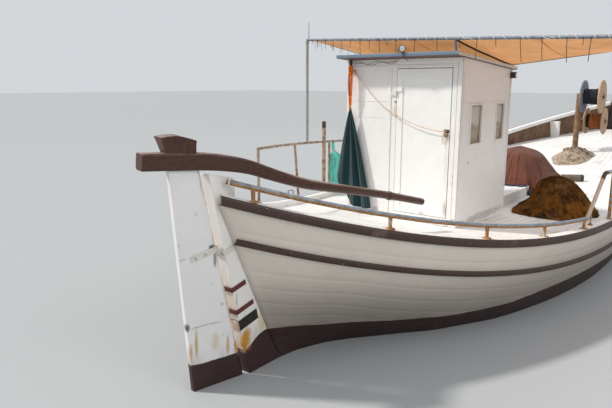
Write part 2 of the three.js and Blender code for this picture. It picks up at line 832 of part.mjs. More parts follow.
// Rudder blade: outline in the rudder's frame, aft is negative x
const bladePoint = (z, chord) => {
  const place = inRudder(axisX(z) - chord * REST_COS, z);
  return [place.x, place.z];
};
const BLADE_CHORDS = [
  [1850, 240],
  [0, 470],
  [-420, 545],
  [-620, 520],
  [-715, 430],
];
const BLADE_FOOT = -728;
const bladeOutline = [
  [-BLADE_EDGE, bladePoint(BLADE_FOOT, BLADE_EDGE)[1]],
  [-BLADE_EDGE, bladePoint(1850, BLADE_EDGE)[1]],
  ...BLADE_CHORDS.map(([z, chord]) => bladePoint(z, chord)),
];
const blade = prism(bladeOutline, -BLADE_HALF, BLADE_HALF);
const bevel = (side) =>
  plate(
    [
      [-BLADE_EDGE + 5, side * BLADE_NOSE_HALF * 0.4],
      [-BLADE_BEVEL, side * BLADE_HALF],
      [-BLADE_BEVEL, side * (BLADE_HALF + 20)],
      [-BLADE_EDGE + 5, side * (BLADE_HALF + 20)],
    ],
    -1000,
    2100,
  );
const bladeBody = mainPart(cut(blade, bevel(1), bevel(-1), tillerRoom));
add("rudder_blade", bladeBody, WHITE_PAINT, rudder);

// Rudder head block, cambered, on top of the tiller
const headLow = [-246, -22];
const headRows = [
  [0, 36, 0],
  [72, 44, 8],
  [133, 56, 14],
];
const tillerTop = (x) => along(
  TILLER.slice(0, 4).map(([tx, tz, , height]) => {
    const place = inRudder(tx, tz);
    return [place.x, place.z + height / 2];
  }),
  x,
);
const headRings = headRows.map(([rise, half, flare]) => {
  const outline = [
    [headLow[0] - flare, -half],
    [headLow[1] + flare, -half],
    [headLow[1] + flare, half],
    [headLow[0] - flare, half],
  ];
  return outline.map(([x, y]) => point(x, y, tillerTop(x) - 12 + rise));
});
add("rudder_head_block", cut(loft(headRings), tillerRoom), BROWN_PAINT, rudder);

// Rudder hangings: a strap with an eye on the post and a strap with a pin on the blade, at two heights
const HANGINGS = { upper: 1060, lower: -620 };
const STRAP_HEIGHT = 46;
const STRAP = 6;
const EYE_RADIUS = 13.4;
const EYE_HOLE = 8.4;
const PIN_RADIUS = 7;
const STRAP_REACH = { upper: 120, lower: 104 };
const BLADE_STRAP_REACH = { upper: -240, lower: -260 };
const gudgeonGroup = new THREE.Group();
gudgeonGroup.position.set(RUDDER_FOOT_X, 0, 0);
gudgeonGroup.rotation.set(0, -RUDDER_RAKE, 0, "YXZ");
boat.add(gudgeonGroup);

function tube(outer, inner, z0, z1) {
  const body = plate(circle(outer, 20).getPoints().map((p) => [p.x, p.y]), z0, z1);
  if (!inner) return body;
  return cut(body, plate(circle(inner, 16).getPoints().map((p) => [p.x, p.y]), z0 - 5, z1 + 5));
}

// A strap bent round the post's aft corners, with the thickness of its middle part stated
function postStrap(far, low, high, middle) {
  const near = BLADE_EDGE - GAP - middle;
  const [inside, outside] = [POST_HALF + GAP, POST_HALF + GAP + STRAP];
  const outline = [
    [near, -outside],
    [far, -outside],
    [far, -inside],
    [BLADE_EDGE - GAP, -inside],
    [BLADE_EDGE - GAP, inside],
    [far, inside],
    [far, outside],
    [near, outside],
  ];
  return plate(outline, low, high);
}

Object.entries(HANGINGS).forEach(([word, z]) => {
  const low = z / RAKE_COS;
  const high = low + STRAP_HEIGHT;
  const strap = join(postStrap(STRAP_REACH[word], low, high, 8), tube(EYE_RADIUS, 0, low, high));
  const hole = tube(EYE_HOLE, 0, low - 5, high + 5);
  add(`gudgeon_${word}`, cut(strap, hole), WHITE_PAINT, gudgeonGroup);

  const reach = BLADE_STRAP_REACH[word];
  const bladeStrap = [
    [-10, -14],
    [-41, -BLADE_HALF - GAP - STRAP],
    [reach, -BLADE_HALF - GAP - STRAP],
    [reach, -BLADE_HALF - GAP],
    [-40.3, -BLADE_HALF - GAP],
    [-BLADE_EDGE + GAP, -BLADE_NOSE_HALF - 1.5],
    [-BLADE_EDGE + GAP, BLADE_NOSE_HALF + 1.5],
    [-40.3, BLADE_HALF + GAP],
    [reach, BLADE_HALF + GAP],
    [reach, BLADE_HALF + GAP + STRAP],
    [-41, BLADE_HALF + GAP + STRAP],
    [-10, 14],
  ];
  const top = high + GAP;
  const pinned = join(
    plate(bladeStrap, top, top + STRAP_HEIGHT),
    tube(EYE_RADIUS - 0.2, 0, top, top + STRAP_HEIGHT),
    tube(PIN_RADIUS, 0, low - 8, top + 5),
  );
  add(`pintle_${word}`, cut(pinned, bladeBody), WHITE_PAINT, rudder);
});

// Plain straps round the sternpost, two narrow and one wide: columns height, strap height, reach forward
const POST_STRAPS = {
  upper: [745, 40, 165],
  middle: [548, 40, 205],
  lower: [405, 88, 222],
};
Object.entries(POST_STRAPS).forEach(([word, [z, height, far]]) => {
  const low = z / RAKE_COS;
  add(`post_strap_${word}`, postStrap(far, low, low + height, STRAP), RED_METAL, gudgeonGroup);
});

// Hatch on the foredeck
const HATCH = { aft: -500, front: 1500, half: 560, top: 920 };
const hatch = box(HATCH.aft, HATCH.front, -HATCH.half, HATCH.half, 500, HATCH.top);
add("foredeck_hatch", onDeck(hatch), WHITE_PAINT);

// Handrails of welded pipe on the cap rails
const PIPE_RADIUS = 16;
const LOW_PIPE_RADIUS = 21;
const RAIL_INBOARD = 45;

function capRoom(side) {
  const corners = [
    [-60, GAP],
    [CAP_WIDTH + 60, GAP],
    [CAP_WIDTH + 60, -CAP_HEIGHT],
    [-60, -CAP_HEIGHT],
  ];
  return loft(SHEER_STATIONS.map((x) => corners.map(([inboard, up]) => edgePoint(x, inboard, up, side))));
}

const onCap = (geometry, side) => mainPart(cut(geometry, capRoom(side), capRail(side).translate(0, 0, GAP)));

function stanchion(x, up, side, radius = PIPE_RADIUS) {
  const foot = edgePoint(x, RAIL_INBOARD, -20, side);
  return rod(foot, point(foot.x, foot.y, foot.z + up + 20), radius);
}

// The starboard rail runs low along the stern and climbs to knee height abreast of the wheelhouse.
// The port rail is high all along. Both end where the bulwark rises. Columns x, height above the cap.
const STARBOARD_RAIL = [
  [-4860, 108],
  [-4300, 112],
  [-3600, 116],
  [-2900, 118],
  [-2200, 116],
  [-1600, 110],
  [-1200, 106],
  [-800, 560],
  [-500, 560],
];
const FORWARD_RAIL = { from: -500, to: 3300, height: 560, step: 950 };
const PORT_RAIL_AFT = { from: -3270, top: 1650, endTop: 1500 };
const railAt = (x, up, side) => edgePoint(x, RAIL_INBOARD, up, side);
function stations(from, to, step) {
  const count = Math.round((to - from) / step) + 1;
  return Array.from({ length: count }, (_, i) => from + i * step);
}

function straightRuns(points, radius = PIPE_RADIUS) {
  return points.slice(1).map((end, i) => rod(points[i], end, radius));
}

const forwardX = stations(FORWARD_RAIL.from, FORWARD_RAIL.to, FORWARD_RAIL.step);
const forwardRun = straightRuns(forwardX.map((x) => railAt(x, FORWARD_RAIL.height, -1)), LOW_PIPE_RADIUS);
const forwardPosts = forwardX.map((x) => stanchion(x, FORWARD_RAIL.height, -1, LOW_PIPE_RADIUS));
const starboardRun = straightRuns(STARBOARD_RAIL.map(([x, up]) => railAt(x, up, -1)), LOW_PIPE_RADIUS);
const LOW_POSTS = { xs: [-4730, -3800, -2870, -2070, -1255], height: 106, radius: 17 };
const lowPosts = LOW_POSTS.xs.map((x) => stanchion(x, LOW_POSTS.height, -1, LOW_POSTS.radius));
const starboardRail = join(...starboardRun, ...lowPosts, ...forwardRun, ...forwardPosts);
add("handrail_starboard", onCap(starboardRail, -1), WHITE_PIPE);

const portUp = (x) => {
  const share = (x - PORT_RAIL_AFT.from) / (FORWARD_RAIL.from - PORT_RAIL_AFT.from);
  return lerp(PORT_RAIL_AFT.top, PORT_RAIL_AFT.endTop, share) - sheer(x);
};
const PORT_POSTS = [-2170, -1150];
const portAftX = [PORT_RAIL_AFT.from, ...PORT_POSTS, FORWARD_RAIL.from];
const portAftPosts = portAftX.slice(0, -1).map((x) => stanchion(x, portUp(x), 1));
const portAftRun = straightRuns(portAftX.map((x) => railAt(x, portUp(x), 1)));
const portForwardRun = straightRuns(forwardX.map((x) => railAt(x, portUp(FORWARD_RAIL.from), 1)));
const portForwardPosts = forwardX.map((x) => stanchion(x, portUp(FORWARD_RAIL.from), 1));
const portRail = join(...portAftRun, ...portAftPosts, ...portForwardRun, ...portForwardPosts);
add("handrail_port", onCap(portRail, 1), WHITE_PIPE);

// Roller post on the port side, standing on the cap rail and its band
const ROLLER_POST = { x: -1225, radius: 27, top: 1820 };
const postFoot = edgePoint(ROLLER_POST.x, 0, -20, 1);
const rollerPost = rod(postFoot, point(postFoot.x, postFoot.y, ROLLER_POST.top), ROLLER_POST.radius, 12);
add("roller_post", onCap(rollerPost, 1), RED_METAL);

// Awning frame: a pole standing on the port handrail, a boom across the roof, and a strut on the roof
const POLE_RADIUS = 18;
const BOOM_RADIUS = 15;
const POLE_X = -1800;
const POLE_TOP = 2890;
const WHIP_TOP = 3090;
const poleAxis = edgePoint(POLE_X, RAIL_INBOARD, 0, 1);
const poleFoot = point(poleAxis.x, poleAxis.y, poleAxis.z + portUp(POLE_X) + PIPE_RADIUS + 2 * GAP);
const boomPort = point(poleAxis.x, poleAxis.y, POLE_TOP - BOOM_RADIUS);
const boomStarboard = point(-2825, -2300, 2670);
const onBoom = (share) => boomPort.clone().lerp(boomStarboard, share);
const STRUT = { y: -680, radius: 12, reach: 300, lean: 25 };
const WHIP_RADIUS = 4;
const strutTop = onBoom((boomPort.y - STRUT.y) / (boomPort.y - boomStarboard.y));
const strutFoot = point(strutTop.x + 2 * STRUT.lean, strutTop.y, strutTop.z - STRUT.reach);
const whipFoot = point(poleAxis.x, poleAxis.y, POLE_TOP - 20);
const roofRoom = prism(
  roofOutline.map(([x, z]) => [x, z + GAP]),
  -ROOF_HALF,
  ROOF_HALF,
);
const awningFrame = join(
  rod(poleFoot, point(poleFoot.x, poleFoot.y, POLE_TOP), POLE_RADIUS, 10),
  rod(boomPort, boomStarboard, BOOM_RADIUS),
  rod(strutFoot, strutTop, STRUT.radius),
  rod(whipFoot, point(poleAxis.x, poleAxis.y, WHIP_TOP), WHIP_RADIUS, 6),
);
add("awning_frame", mainPart(cut(awningFrame, roofRoom)), WHITE_PIPE);

// The starboard pole and the side pipe that lies on the boom's end
const STARBOARD_POLE_X = -300;
const POLE_FOOT_LIFT = 3.9;
const starboardPoleUp = FORWARD_RAIL.height + LOW_PIPE_RADIUS + POLE_FOOT_LIFT;
const starboardPoleFoot = edgePoint(STARBOARD_POLE_X, RAIL_INBOARD, starboardPoleUp, -1);
const SIDE_PIPE_TOP = 2735;
const sideHead = point(starboardPoleFoot.x, starboardPoleFoot.y, SIDE_PIPE_TOP);
const SIDE_PIPE_LIFT = 33.3;
const sideAft = boomStarboard.clone().add(point(30, 60, SIDE_PIPE_LIFT));
const sideFrame = join(
  rod(starboardPoleFoot, point(sideHead.x, sideHead.y, sideHead.z + 15), POLE_RADIUS, 10),
  rod(sideHead, sideAft, BOOM_RADIUS),
);
add("awning_frame_starboard", sideFrame, WHITE_PIPE);

// Awning canvas: laced along the boom, drawn down to the roof front corners and out to the starboard pole
const CANVAS = {
  thickness: 4,
  columns: 16,
  rows: 6,
  from: 0.012,
  to: 0.985,
  portWidth: 60,
  roofLift: 14,
  sag: 45,
  sagOverRoof: 0.25,
  roofTo: 0.62,
};
const boomAlong = boomStarboard.clone().sub(boomPort).normalize();
const boomForward = point(-boomAlong.y, boomAlong.x, 0).normalize();
const roofCornerZ = roofUnder(HOUSE_FRONT_X) + ROOF_THICKNESS + CANVAS.roofLift;
const roofCorner = (side) => point(HOUSE_FRONT_X, side * HOUSE_HALF, roofCornerZ);
// The canvas's forward edge: columns share along the boom, place
const canvasForward = [
  [CANVAS.from, onBoom(CANVAS.from).addScaledVector(boomForward, CANVAS.portWidth)],
  [0.24, roofCorner(1)],
  [0.59, roofCorner(-1)],
  [CANVAS.to, point(sideHead.x - 30, sideHead.y + 34, sideHead.z - 24)],
];

function canvasEdge(share) {
  const i = Math.max(canvasForward.findIndex(([at]) => share <= at + 1e-6), 1);
  const [a, from] = canvasForward[i - 1];
  const [b, to] = canvasForward[i];
  return from.clone().lerp(to, (share - a) / (b - a));
}

function canvasGrid(drop) {
  const rows = [];
  for (let i = 0; i <= CANVAS.columns; i += 1) {
    const share = lerp(CANVAS.from, CANVAS.to, i / CANVAS.columns);
    const aft = onBoom(share).addScaledVector(boomForward, BOOM_RADIUS - 0.8);
    const fore = canvasEdge(share);
    const row = [];
    for (let j = 0; j <= CANVAS.rows; j += 1) {
      const down = j / CANVAS.rows;
      const place = aft.clone().lerp(fore, down);
      const overRoof = share < CANVAS.roofTo ? CANVAS.sagOverRoof : 1;
      place.z -= CANVAS.sag * overRoof * 4 * down * (1 - down) + drop;
      row.push(place);
    }
    rows.push(row);
  }
  return rows;
}

add("awning_canvas", shell(canvasGrid(0), canvasGrid(CANVAS.thickness)), CANVAS_CLOTH);

// Lamps on the wheelhouse
const DECK_LAMP = { radius: 40, y: -95, from: -2430, to: -2360 };
const lampZ = roofUnder(ROOF_AFT_X) + ROOF_THICKNESS + DECK_LAMP.radius - 0.8;
const lampEnds = [DECK_LAMP.from, DECK_LAMP.to].map((x) => point(x, DECK_LAMP.y, lampZ));
const deckLamp = rod(...lampEnds, DECK_LAMP.radius, 12);
add("deck_lamp", deckLamp, DARK);
const SIDE_LAMP = { from: -905, to: -845, proud: 62, low: 2395, high: 2465 };
const sideLamp = box(
  SIDE_LAMP.from,
  SIDE_LAMP.to,
  -HOUSE_HALF - SIDE_LAMP.proud,
  -HOUSE_HALF - GAP,
  SIDE_LAMP.low,
  SIDE_LAMP.high,
);
add("side_lamp", sideLamp, DARK);

// Rope that ties the door, from the hook on the aft wall to the hasp
const TIE_ROPE = [
  [-2222, 588, 2462],
  [-2226, 560, 2440],
  [-2230, 480, 2352],
  [-2231, 380, 2248],
  [-2231, 270, 2148],
  [-2231, 150, 2062],
  [-2231, 16, 1990],
  [-2231, -120, 1935],
  [-2231, -260, 1892],
  [-2230, -390, 1864],
  [-2227, -480, 1853],
  [-2223, -539.7, 1852],
];
add("door_tie_rope", pipe(TIE_ROPE.map((p) => point(...p)), 4.5, 8, 40), ROPE);

// Cloth hung by its corner from a cord at the roof's port aft corner
const CLOTH_X = -2276;
const HANG_CORD = [
  [CLOTH_X, 600, 2595.1],
  [CLOTH_X, 601, 2460],
  [CLOTH_X, 602, 2330],
  [CLOTH_X, 602, 2200],
  [CLOTH_X, 602, 2065.3],
];
add("cloth_cord", pipe(HANG_CORD.map((p) => point(...p)), 5, 8, 12), ROPE);

// Rings down the cloth: columns height, middle y, half width, half thickness
const CLOTH_RINGS = [
  [2065, 602, 14, 12],
  [1980, 598, 46, 26],
  [1800, 580, 92, 38],
  [1560, 560, 140, 46],
  [1300, 548, 190, 50],
  [1080, 542, 232, 46],
  [935, 540, 206, 30],
];

function clothRing([z, y, half, thick]) {
  return Array.from({ length: 12 }, (_, k) => {
    const turn = (2 * Math.PI * k) / 12;
    return point(CLOTH_X + thick * Math.sin(turn), y + half * Math.cos(turn), z);
  });
}

add("hanging_cloth", loft(CLOTH_RINGS.map(clothRing)), CLOTH_GREEN);

// Heaps of gear on deck. Rings are squashed circles that close in towards the top.
function heap({ x, y, halfX, halfY, low, high, power, root, turn }) {
  const rings = [];
  const levels = [0, 0.25, 0.5, 0.72, 0.88, 0.97];
  levels.forEach((level, row) => {
    const reach = (1 - level ** power) ** root;
    rings.push(
      Array.from({ length: 14 }, (_, k) => {
        const round = (2 * Math.PI * k) / 14;
        const lump = 1 + 0.07 * Math.sin(3 * round + turn + row * 0.7) + 0.04 * Math.cos(5 * round - turn);
        const px = x + halfX * reach * lump * Math.cos(round);
        const py = y + halfY * reach * lump * Math.sin(round);
        return point(px, py, lerp(low, high, level));
      }),
    );
  });
  return loft(rings);
}

const hatchRoom = box(
  HATCH.aft - GAP,
  HATCH.front + GAP,
  -HATCH.half - GAP,
  HATCH.half + GAP,
  400,
  HATCH.top + GAP,
);
const houseRoom = box(HOUSE_AFT_X - 5, HOUSE_FRONT_X + 5, -HOUSE_HALF - 5, HOUSE_HALF + 5, 300, 3000);
// Columns of each heap: centre, half length and breadth, foot and top, two profile numbers, and its turn
const HEAP_KEYS = ["x", "y", "halfX", "halfY", "low", "high", "power", "root", "turn"];
const heapOf = (row) => heap(Object.fromEntries(HEAP_KEYS.map((key, i) => [key, row[i]])));
const NET_PILE = [-190, -1110, 680, 512, 600, 1200, 2.6, 0.67, -0.55];
const COVERED_HEAP = [1107, -190, 967, 800, 600, 1422, 1.54, 0.8, -0.87];
const netPile = heapOf(NET_PILE);
const coveredHeap = heapOf(COVERED_HEAP);
add("net_pile", mainPart(cut(onDeck(netPile), hatchRoom, houseRoom, coveredHeap)), NET_BROWN);
add("covered_heap", mainPart(cut(onDeck(coveredHeap), hatchRoom, houseRoom)), COVER_MAROON);

// Short length of grey pipe lying on deck beside the covered heap
const DECK_PIPE = { from: point(1700, -560, 890), to: point(1925, -925, 890), radius: 55 };
const deckPipe = rod(DECK_PIPE.from, DECK_PIPE.to, DECK_PIPE.radius, 16);
const coverRoom = coveredHeap.clone().translate(0, -GAP, 0);
add("deck_pipe", mainPart(cut(onDeck(deckPipe), coverRoom)), STEEL);

// Net bundle hung on the port handrail
const BUNDLE_X = -1040;
const bundleTop = edgePoint(BUNDLE_X, RAIL_INBOARD, portUp(BUNDLE_X) - PIPE_RADIUS - 2 * GAP, 1);
const BUNDLE_RINGS = [
  [0, 30, 18],
  [-120, 34, 22],
  [-190, 105, 55],
  [-360, 135, 85],
  [-560, 120, 80],
  [-690, 60, 50],
];
const bundle = loft(
  BUNDLE_RINGS.map(([drop, halfX, halfY]) =>
    Array.from({ length: 12 }, (_, k) => {
      const turn = (2 * Math.PI * k) / 12;
      const y = bundleTop.y - Math.max(halfY - 20, 0) + halfY * Math.sin(turn);
      return point(bundleTop.x + halfX * Math.cos(turn), y, bundleTop.z + drop);
    }),
  ),
);
const postRoom = stanchion(PORT_POSTS[1], portUp(PORT_POSTS[1]), 1, PIPE_RADIUS + GAP);
add("net_bundle", mainPart(cut(bundle, capRoom(1), postRoom)), NET_BLUE);

// Staple over the port cap rail, a bent bar to make a rope fast
const STAPLE = { x: -2300, outboardLeg: 14, inboardLeg: 81, height: 120, radius: 9, lap: 4 };
const stapleLegs = [STAPLE.outboardLeg, STAPLE.inboardLeg];
const stapleTop = stapleLegs.map((inboard) => edgePoint(STAPLE.x, inboard, STAPLE.height, 1));
const stapleBars = stapleTop.map((p) => {
  const foot = point(p.x, p.y, p.z - STAPLE.height - STAPLE.lap);
  return rod(foot, point(p.x, p.y, p.z + STAPLE.lap), STAPLE.radius);
});
const staple = join(rod(stapleTop[0], stapleTop[1], STAPLE.radius), ...stapleBars);
add("cap_staple", mainPart(cut(staple, capRoom(1))), STEEL);

// Rope reels on their stand, on the foredeck. Each turns on an axle across the boat.
const REEL_STAND = { x: 4560, y: -110, top: 2150, foot: 600, radius: 52, baseHalf: 170, baseTop: 1075 };
const REEL_ARM_HALF = 38;
const REEL_CLEAR = 14;
const AXLE_END = 34;
const AXLE_RADIUS = 20;
// Columns x, z, flange radius, radius of the rope wound on the core
const REELS = {
  upper: [4560, 2090, 312, 150],
  lower: [4940, 1610, 258, 152],
};
const REEL_LENGTH = 350;
const REEL_FLANGE = 26;
const standParts = [
  rod(
    point(REEL_STAND.x, REEL_STAND.y, REEL_STAND.foot),
    point(REEL_STAND.x, REEL_STAND.y, REEL_STAND.top),
    REEL_STAND.radius,
    12,
  ),
  box(
    REEL_STAND.x - REEL_STAND.baseHalf,
    REEL_STAND.x + REEL_STAND.baseHalf,
    REEL_STAND.y - REEL_STAND.baseHalf,
    REEL_STAND.y + REEL_STAND.baseHalf,
    REEL_STAND.foot,
    REEL_STAND.baseTop,
  ),
];
Object.entries(REELS).forEach(([word, [x, z, flange, core]]) => {
  const from = REEL_STAND.y - REEL_STAND.radius - REEL_CLEAR;
  const to = from - REEL_LENGTH;
  standParts.push(rod(point(x, REEL_STAND.y, z), point(x, to - AXLE_END, z), AXLE_RADIUS, 12));
  standParts.push(rod(point(x, to - 6, z), point(x, to - AXLE_END, z), AXLE_RADIUS + 14, 12));
  if (x > REEL_STAND.x) {
    const y0 = REEL_STAND.y - REEL_ARM_HALF;
    const y1 = REEL_STAND.y + REEL_ARM_HALF;
    standParts.push(box(REEL_STAND.x, x + REEL_ARM_HALF, y0, y1, z - REEL_ARM_HALF, z + REEL_ARM_HALF));
  }
  const profile = [
    [AXLE_RADIUS + GAP, 0],
    [flange, 0],
    [flange, REEL_FLANGE],
    [core, REEL_FLANGE],
    [core, REEL_LENGTH - REEL_FLANGE],
    [flange, REEL_LENGTH - REEL_FLANGE],
    [flange, REEL_LENGTH],
    [AXLE_RADIUS + GAP, REEL_LENGTH],
    [AXLE_RADIUS + GAP, 0],
  ].map(([r, h]) => new THREE.Vector2(r, h));
  const reel = new THREE.LatheGeometry(profile, 24).rotateX(Math.PI).translate(x, from, z);
  add(`rope_reel_${word}`, reel, NET_BROWN);
});
add("reel_stand", onDeck(join(...standParts)), RED_METAL);

// Heap of pale netting round the foot of the stand
const PALE_HEAP = [3990, -240, 1078, 485, 700, 1175, 2.1, 0.95, 2.1];
const standRoom = box(
  REEL_STAND.x - REEL_STAND.baseHalf - GAP,
  REEL_STAND.x + REEL_STAND.baseHalf + GAP,
  REEL_STAND.y - REEL_STAND.baseHalf - GAP,
  REEL_STAND.y + REEL_STAND.baseHalf + GAP,
  600,
  1400,
);
add("pale_net_heap", mainPart(cut(onDeck(heapOf(PALE_HEAP)), standRoom)), ROPE);

// Timber heads on each side of the foredeck, from the deck to the underside of the cap rail
const TIMBER_HEAD = { x: 6500, half: 75, thick: 70, fromHull: 115, belowCap: 6, foot: 700 };
[
  ["port", 1],
  ["starboard", -1],
].forEach(([word, side]) => {
  const [aft, fore] = [TIMBER_HEAD.x - TIMBER_HEAD.half, TIMBER_HEAD.x + TIMBER_HEAD.half];
  const outer = side * (halfBreadth(fore) + 20);
  const inner = side * (halfBreadth(fore) - TIMBER_HEAD.fromHull - TIMBER_HEAD.thick);
  const [y0, y1] = [Math.min(outer, inner), Math.max(outer, inner)];
  const top = sheer(aft) - CAP_HEIGHT - TIMBER_HEAD.belowCap;
  const post = box(aft, fore, y0, y1, TIMBER_HEAD.foot, top);
  const fitted = cut(onDeck(post), planking(side, GAP), capSolid(side, GAP));
  add(`timber_head_${word}`, mainPart(fitted), WHITE_PAINT);
});

boat.updateMatrixWorld(true);
export default boat;
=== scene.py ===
import math
import random
from math import cos, pi, sin

import bmesh
import bpy
import numpy as np
from mathutils import Matrix, Vector, noise


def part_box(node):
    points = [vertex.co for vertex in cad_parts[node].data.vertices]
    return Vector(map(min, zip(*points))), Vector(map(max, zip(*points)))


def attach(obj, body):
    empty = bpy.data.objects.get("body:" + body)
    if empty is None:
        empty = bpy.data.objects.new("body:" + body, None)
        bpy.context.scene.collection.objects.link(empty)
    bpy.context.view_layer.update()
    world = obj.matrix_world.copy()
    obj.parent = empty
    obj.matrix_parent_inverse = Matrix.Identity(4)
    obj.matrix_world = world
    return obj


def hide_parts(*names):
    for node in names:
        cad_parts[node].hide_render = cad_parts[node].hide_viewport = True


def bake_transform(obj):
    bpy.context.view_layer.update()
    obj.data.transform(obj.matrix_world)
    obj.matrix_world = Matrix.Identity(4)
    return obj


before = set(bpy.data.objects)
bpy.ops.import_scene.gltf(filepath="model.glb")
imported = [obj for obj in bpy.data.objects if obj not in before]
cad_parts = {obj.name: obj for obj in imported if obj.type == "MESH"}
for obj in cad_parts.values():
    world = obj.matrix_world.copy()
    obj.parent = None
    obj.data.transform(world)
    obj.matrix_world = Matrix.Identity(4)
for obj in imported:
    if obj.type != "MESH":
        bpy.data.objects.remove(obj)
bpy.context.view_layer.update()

# Stage: camera on the quay side behind the starboard quarter, floor at the waterline, soft light.
# The floor stands in for the water's surface, so the hull goes on below it.
PHOTO_WIDTH = 612
FOCAL_PIXELS = 580
EYE = Vector((-7.75, -3.16, 2.33))
VIEW_PITCH = math.radians(11.7)
VIEW_HEADING = math.radians(38.8)


def placed(name, data):
    made = bpy.data.objects.new(name, data)
    bpy.context.collection.objects.link(made)
    return made


camera_data = bpy.data.cameras.new("photo_view")
camera_data.sensor_width = 36
camera_data.lens = 36 * FOCAL_PIXELS / PHOTO_WIDTH
camera_data.clip_end = 400
camera = placed("photo_view", camera_data)
camera.location = EYE
camera.rotation_euler = (pi / 2 - VIEW_PITCH, 0, VIEW_HEADING - pi / 2)
bpy.context.scene.camera = camera


def wired(tree, made, wires):
    for key, value in wires.items():
        if isinstance(value, bpy.types.NodeSocket):
            tree.links.new(value, made.inputs[key])
        else:
            made.inputs[key].default_value = value
    return made


def put(tree, kind, wires=None, **settings):
    made = tree.nodes.new("ShaderNode" + kind)
    for name, value in settings.items():
        setattr(made, name, value)
    return wired(tree, made, wires or {})


def reckon(tree, operation, *values, clamp=False):
    return put(tree, "Math", dict(enumerate(values)), operation=operation, use_clamp=clamp).outputs[0]


def times(tree, first, second):
    return reckon(tree, "MULTIPLY", first, second)


def plus(tree, first, second):
    return reckon(tree, "ADD", first, second)


def sloped(tree, value, slope, offset):
    return reckon(tree, "MULTIPLY_ADD", value, slope, offset)


def between(tree, value, low, high, to_low=0.0, to_high=1.0):
    wires = {0: value, 1: low, 2: high, 3: to_low, 4: to_high}
    return put(tree, "MapRange", wires, interpolation_type="SMOOTHSTEP").outputs[0]


def tinted(tree, share, first, second, blend="MIX"):
    wires = {0: share, 6: first, 7: second}
    return put(tree, "Mix", wires, data_type="RGBA", blend_type=blend, clamp_factor=True).outputs[2]


def speckle(tree, vector, scale, detail=5.0, roughness=0.55, distortion=0.0):
    wires = {"Vector": vector, "Scale": scale, "Detail": detail, "Roughness": roughness, "Distortion": distortion}
    return put(tree, "TexNoise", wires).outputs[0]


def stretched(tree, vector, scale, turn=(0, 0, 0)):
    return put(tree, "Mapping", {"Vector": vector, "Scale": scale, "Rotation": turn}).outputs[0]


def split(tree, vector):
    return put(tree, "SeparateXYZ", {0: vector}).outputs


def faces_way(tree):
    return split(tree, put(tree, "NewGeometry").outputs["Normal"])


def darker(colour, share):
    return tuple(part * share for part in colour[:3]) + (1,)


def fresh_material(name):
    material = bpy.data.materials.new(name)
    material.use_nodes = True
    tree = material.node_tree
    tree.nodes.clear()
    shader = put(tree, "BsdfPrincipled")
    put(tree, "OutputMaterial", {"Surface": shader.outputs[0]})
    where = put(tree, "TexCoord").outputs["Object"]
    return material, tree, shader, where


def raised(tree, shader, height, distance, strength=1.0):
    bump = put(tree, "Bump", {"Height": height, "Distance": distance, "Strength": strength})
    wired(tree, shader, {"Normal": bump.outputs[0]})


FLOOR_REACH = 150.0
floor_mesh = bpy.data.meshes.new("floor")
corners = [
    (-FLOOR_REACH, -FLOOR_REACH, 0), (FLOOR_REACH, -FLOOR_REACH, 0), (FLOOR_REACH, FLOOR_REACH, 0),
    (-FLOOR_REACH, FLOOR_REACH, 0)
]
floor_mesh.from_pydata(corners, [], [(0, 1, 2, 3)])
floor = placed("floor", floor_mesh)
floor_paint, tree, shader, where = fresh_material("pale_floor")
wired(tree, shader, {"Base Color": (0.38, 0.395, 0.405, 1), "Roughness": 0.85})
floor_mesh.materials.append(floor_paint)

sky = bpy.data.worlds.new("soft_sky")
sky.use_nodes = True
sky.node_tree.nodes["Background"].inputs["Color"].default_value = (0.93, 0.96, 1.0, 1)
sky.node_tree.nodes["Background"].inputs["Strength"].default_value = 0.7
bpy.context.scene.world = sky
bpy.context.scene.view_settings.view_transform = "Standard"


def soft_light(name, place, aim, size, power, colour):
    lamp = bpy.data.lights.new(name, "AREA")
    lamp.shape = "DISK"
    lamp.size = size
    lamp.energy = power
    lamp.color = colour
    holder = placed(name, lamp)
    holder.location = place
    holder.rotation_euler = (Vector(aim) - Vector(place)).to_track_quat("-Z", "Y").to_euler()


soft_light("bow_light", (16, 6, 14), (4, 0, 0.8), 7, 300, (1.0, 0.97, 0.93))
soft_light("quay_light", (-5, -12, 10), (-1, -0.5, 1.6), 7, 430, (1.0, 0.98, 0.96))
sun = bpy.data.lights.new("key_light", "SUN")
sun.energy = 3.1
sun.angle = math.radians(4)
sun.color = (1.0, 0.96, 0.9)
sun_holder = placed("key_light", sun)
sun_holder.rotation_euler = Vector((0.42, -0.55, -0.72)).to_track_quat("-Z", "Y").to_euler()


# Brushed paint: the white, brown and red coats that most pieces carry, laid over many older ones.
# It is blotched and grimy, streaked by rain and rust, and chipped through to the coat or timber below.
def effect(name, takes, gives):
    group = bpy.data.node_groups.new(name, "ShaderNodeTree")
    for word, kind, value in takes:
        socket = group.interface.new_socket(word, in_out="INPUT", socket_type="NodeSocket" + kind)
        if kind != "Vector":
            socket.default_value = value
    for word, kind in gives:
        group.interface.new_socket(word, in_out="OUTPUT", socket_type="NodeSocket" + kind)
    enter = group.nodes.new("NodeGroupInput")
    return group, enter.outputs, group.nodes.new("NodeGroupOutput")


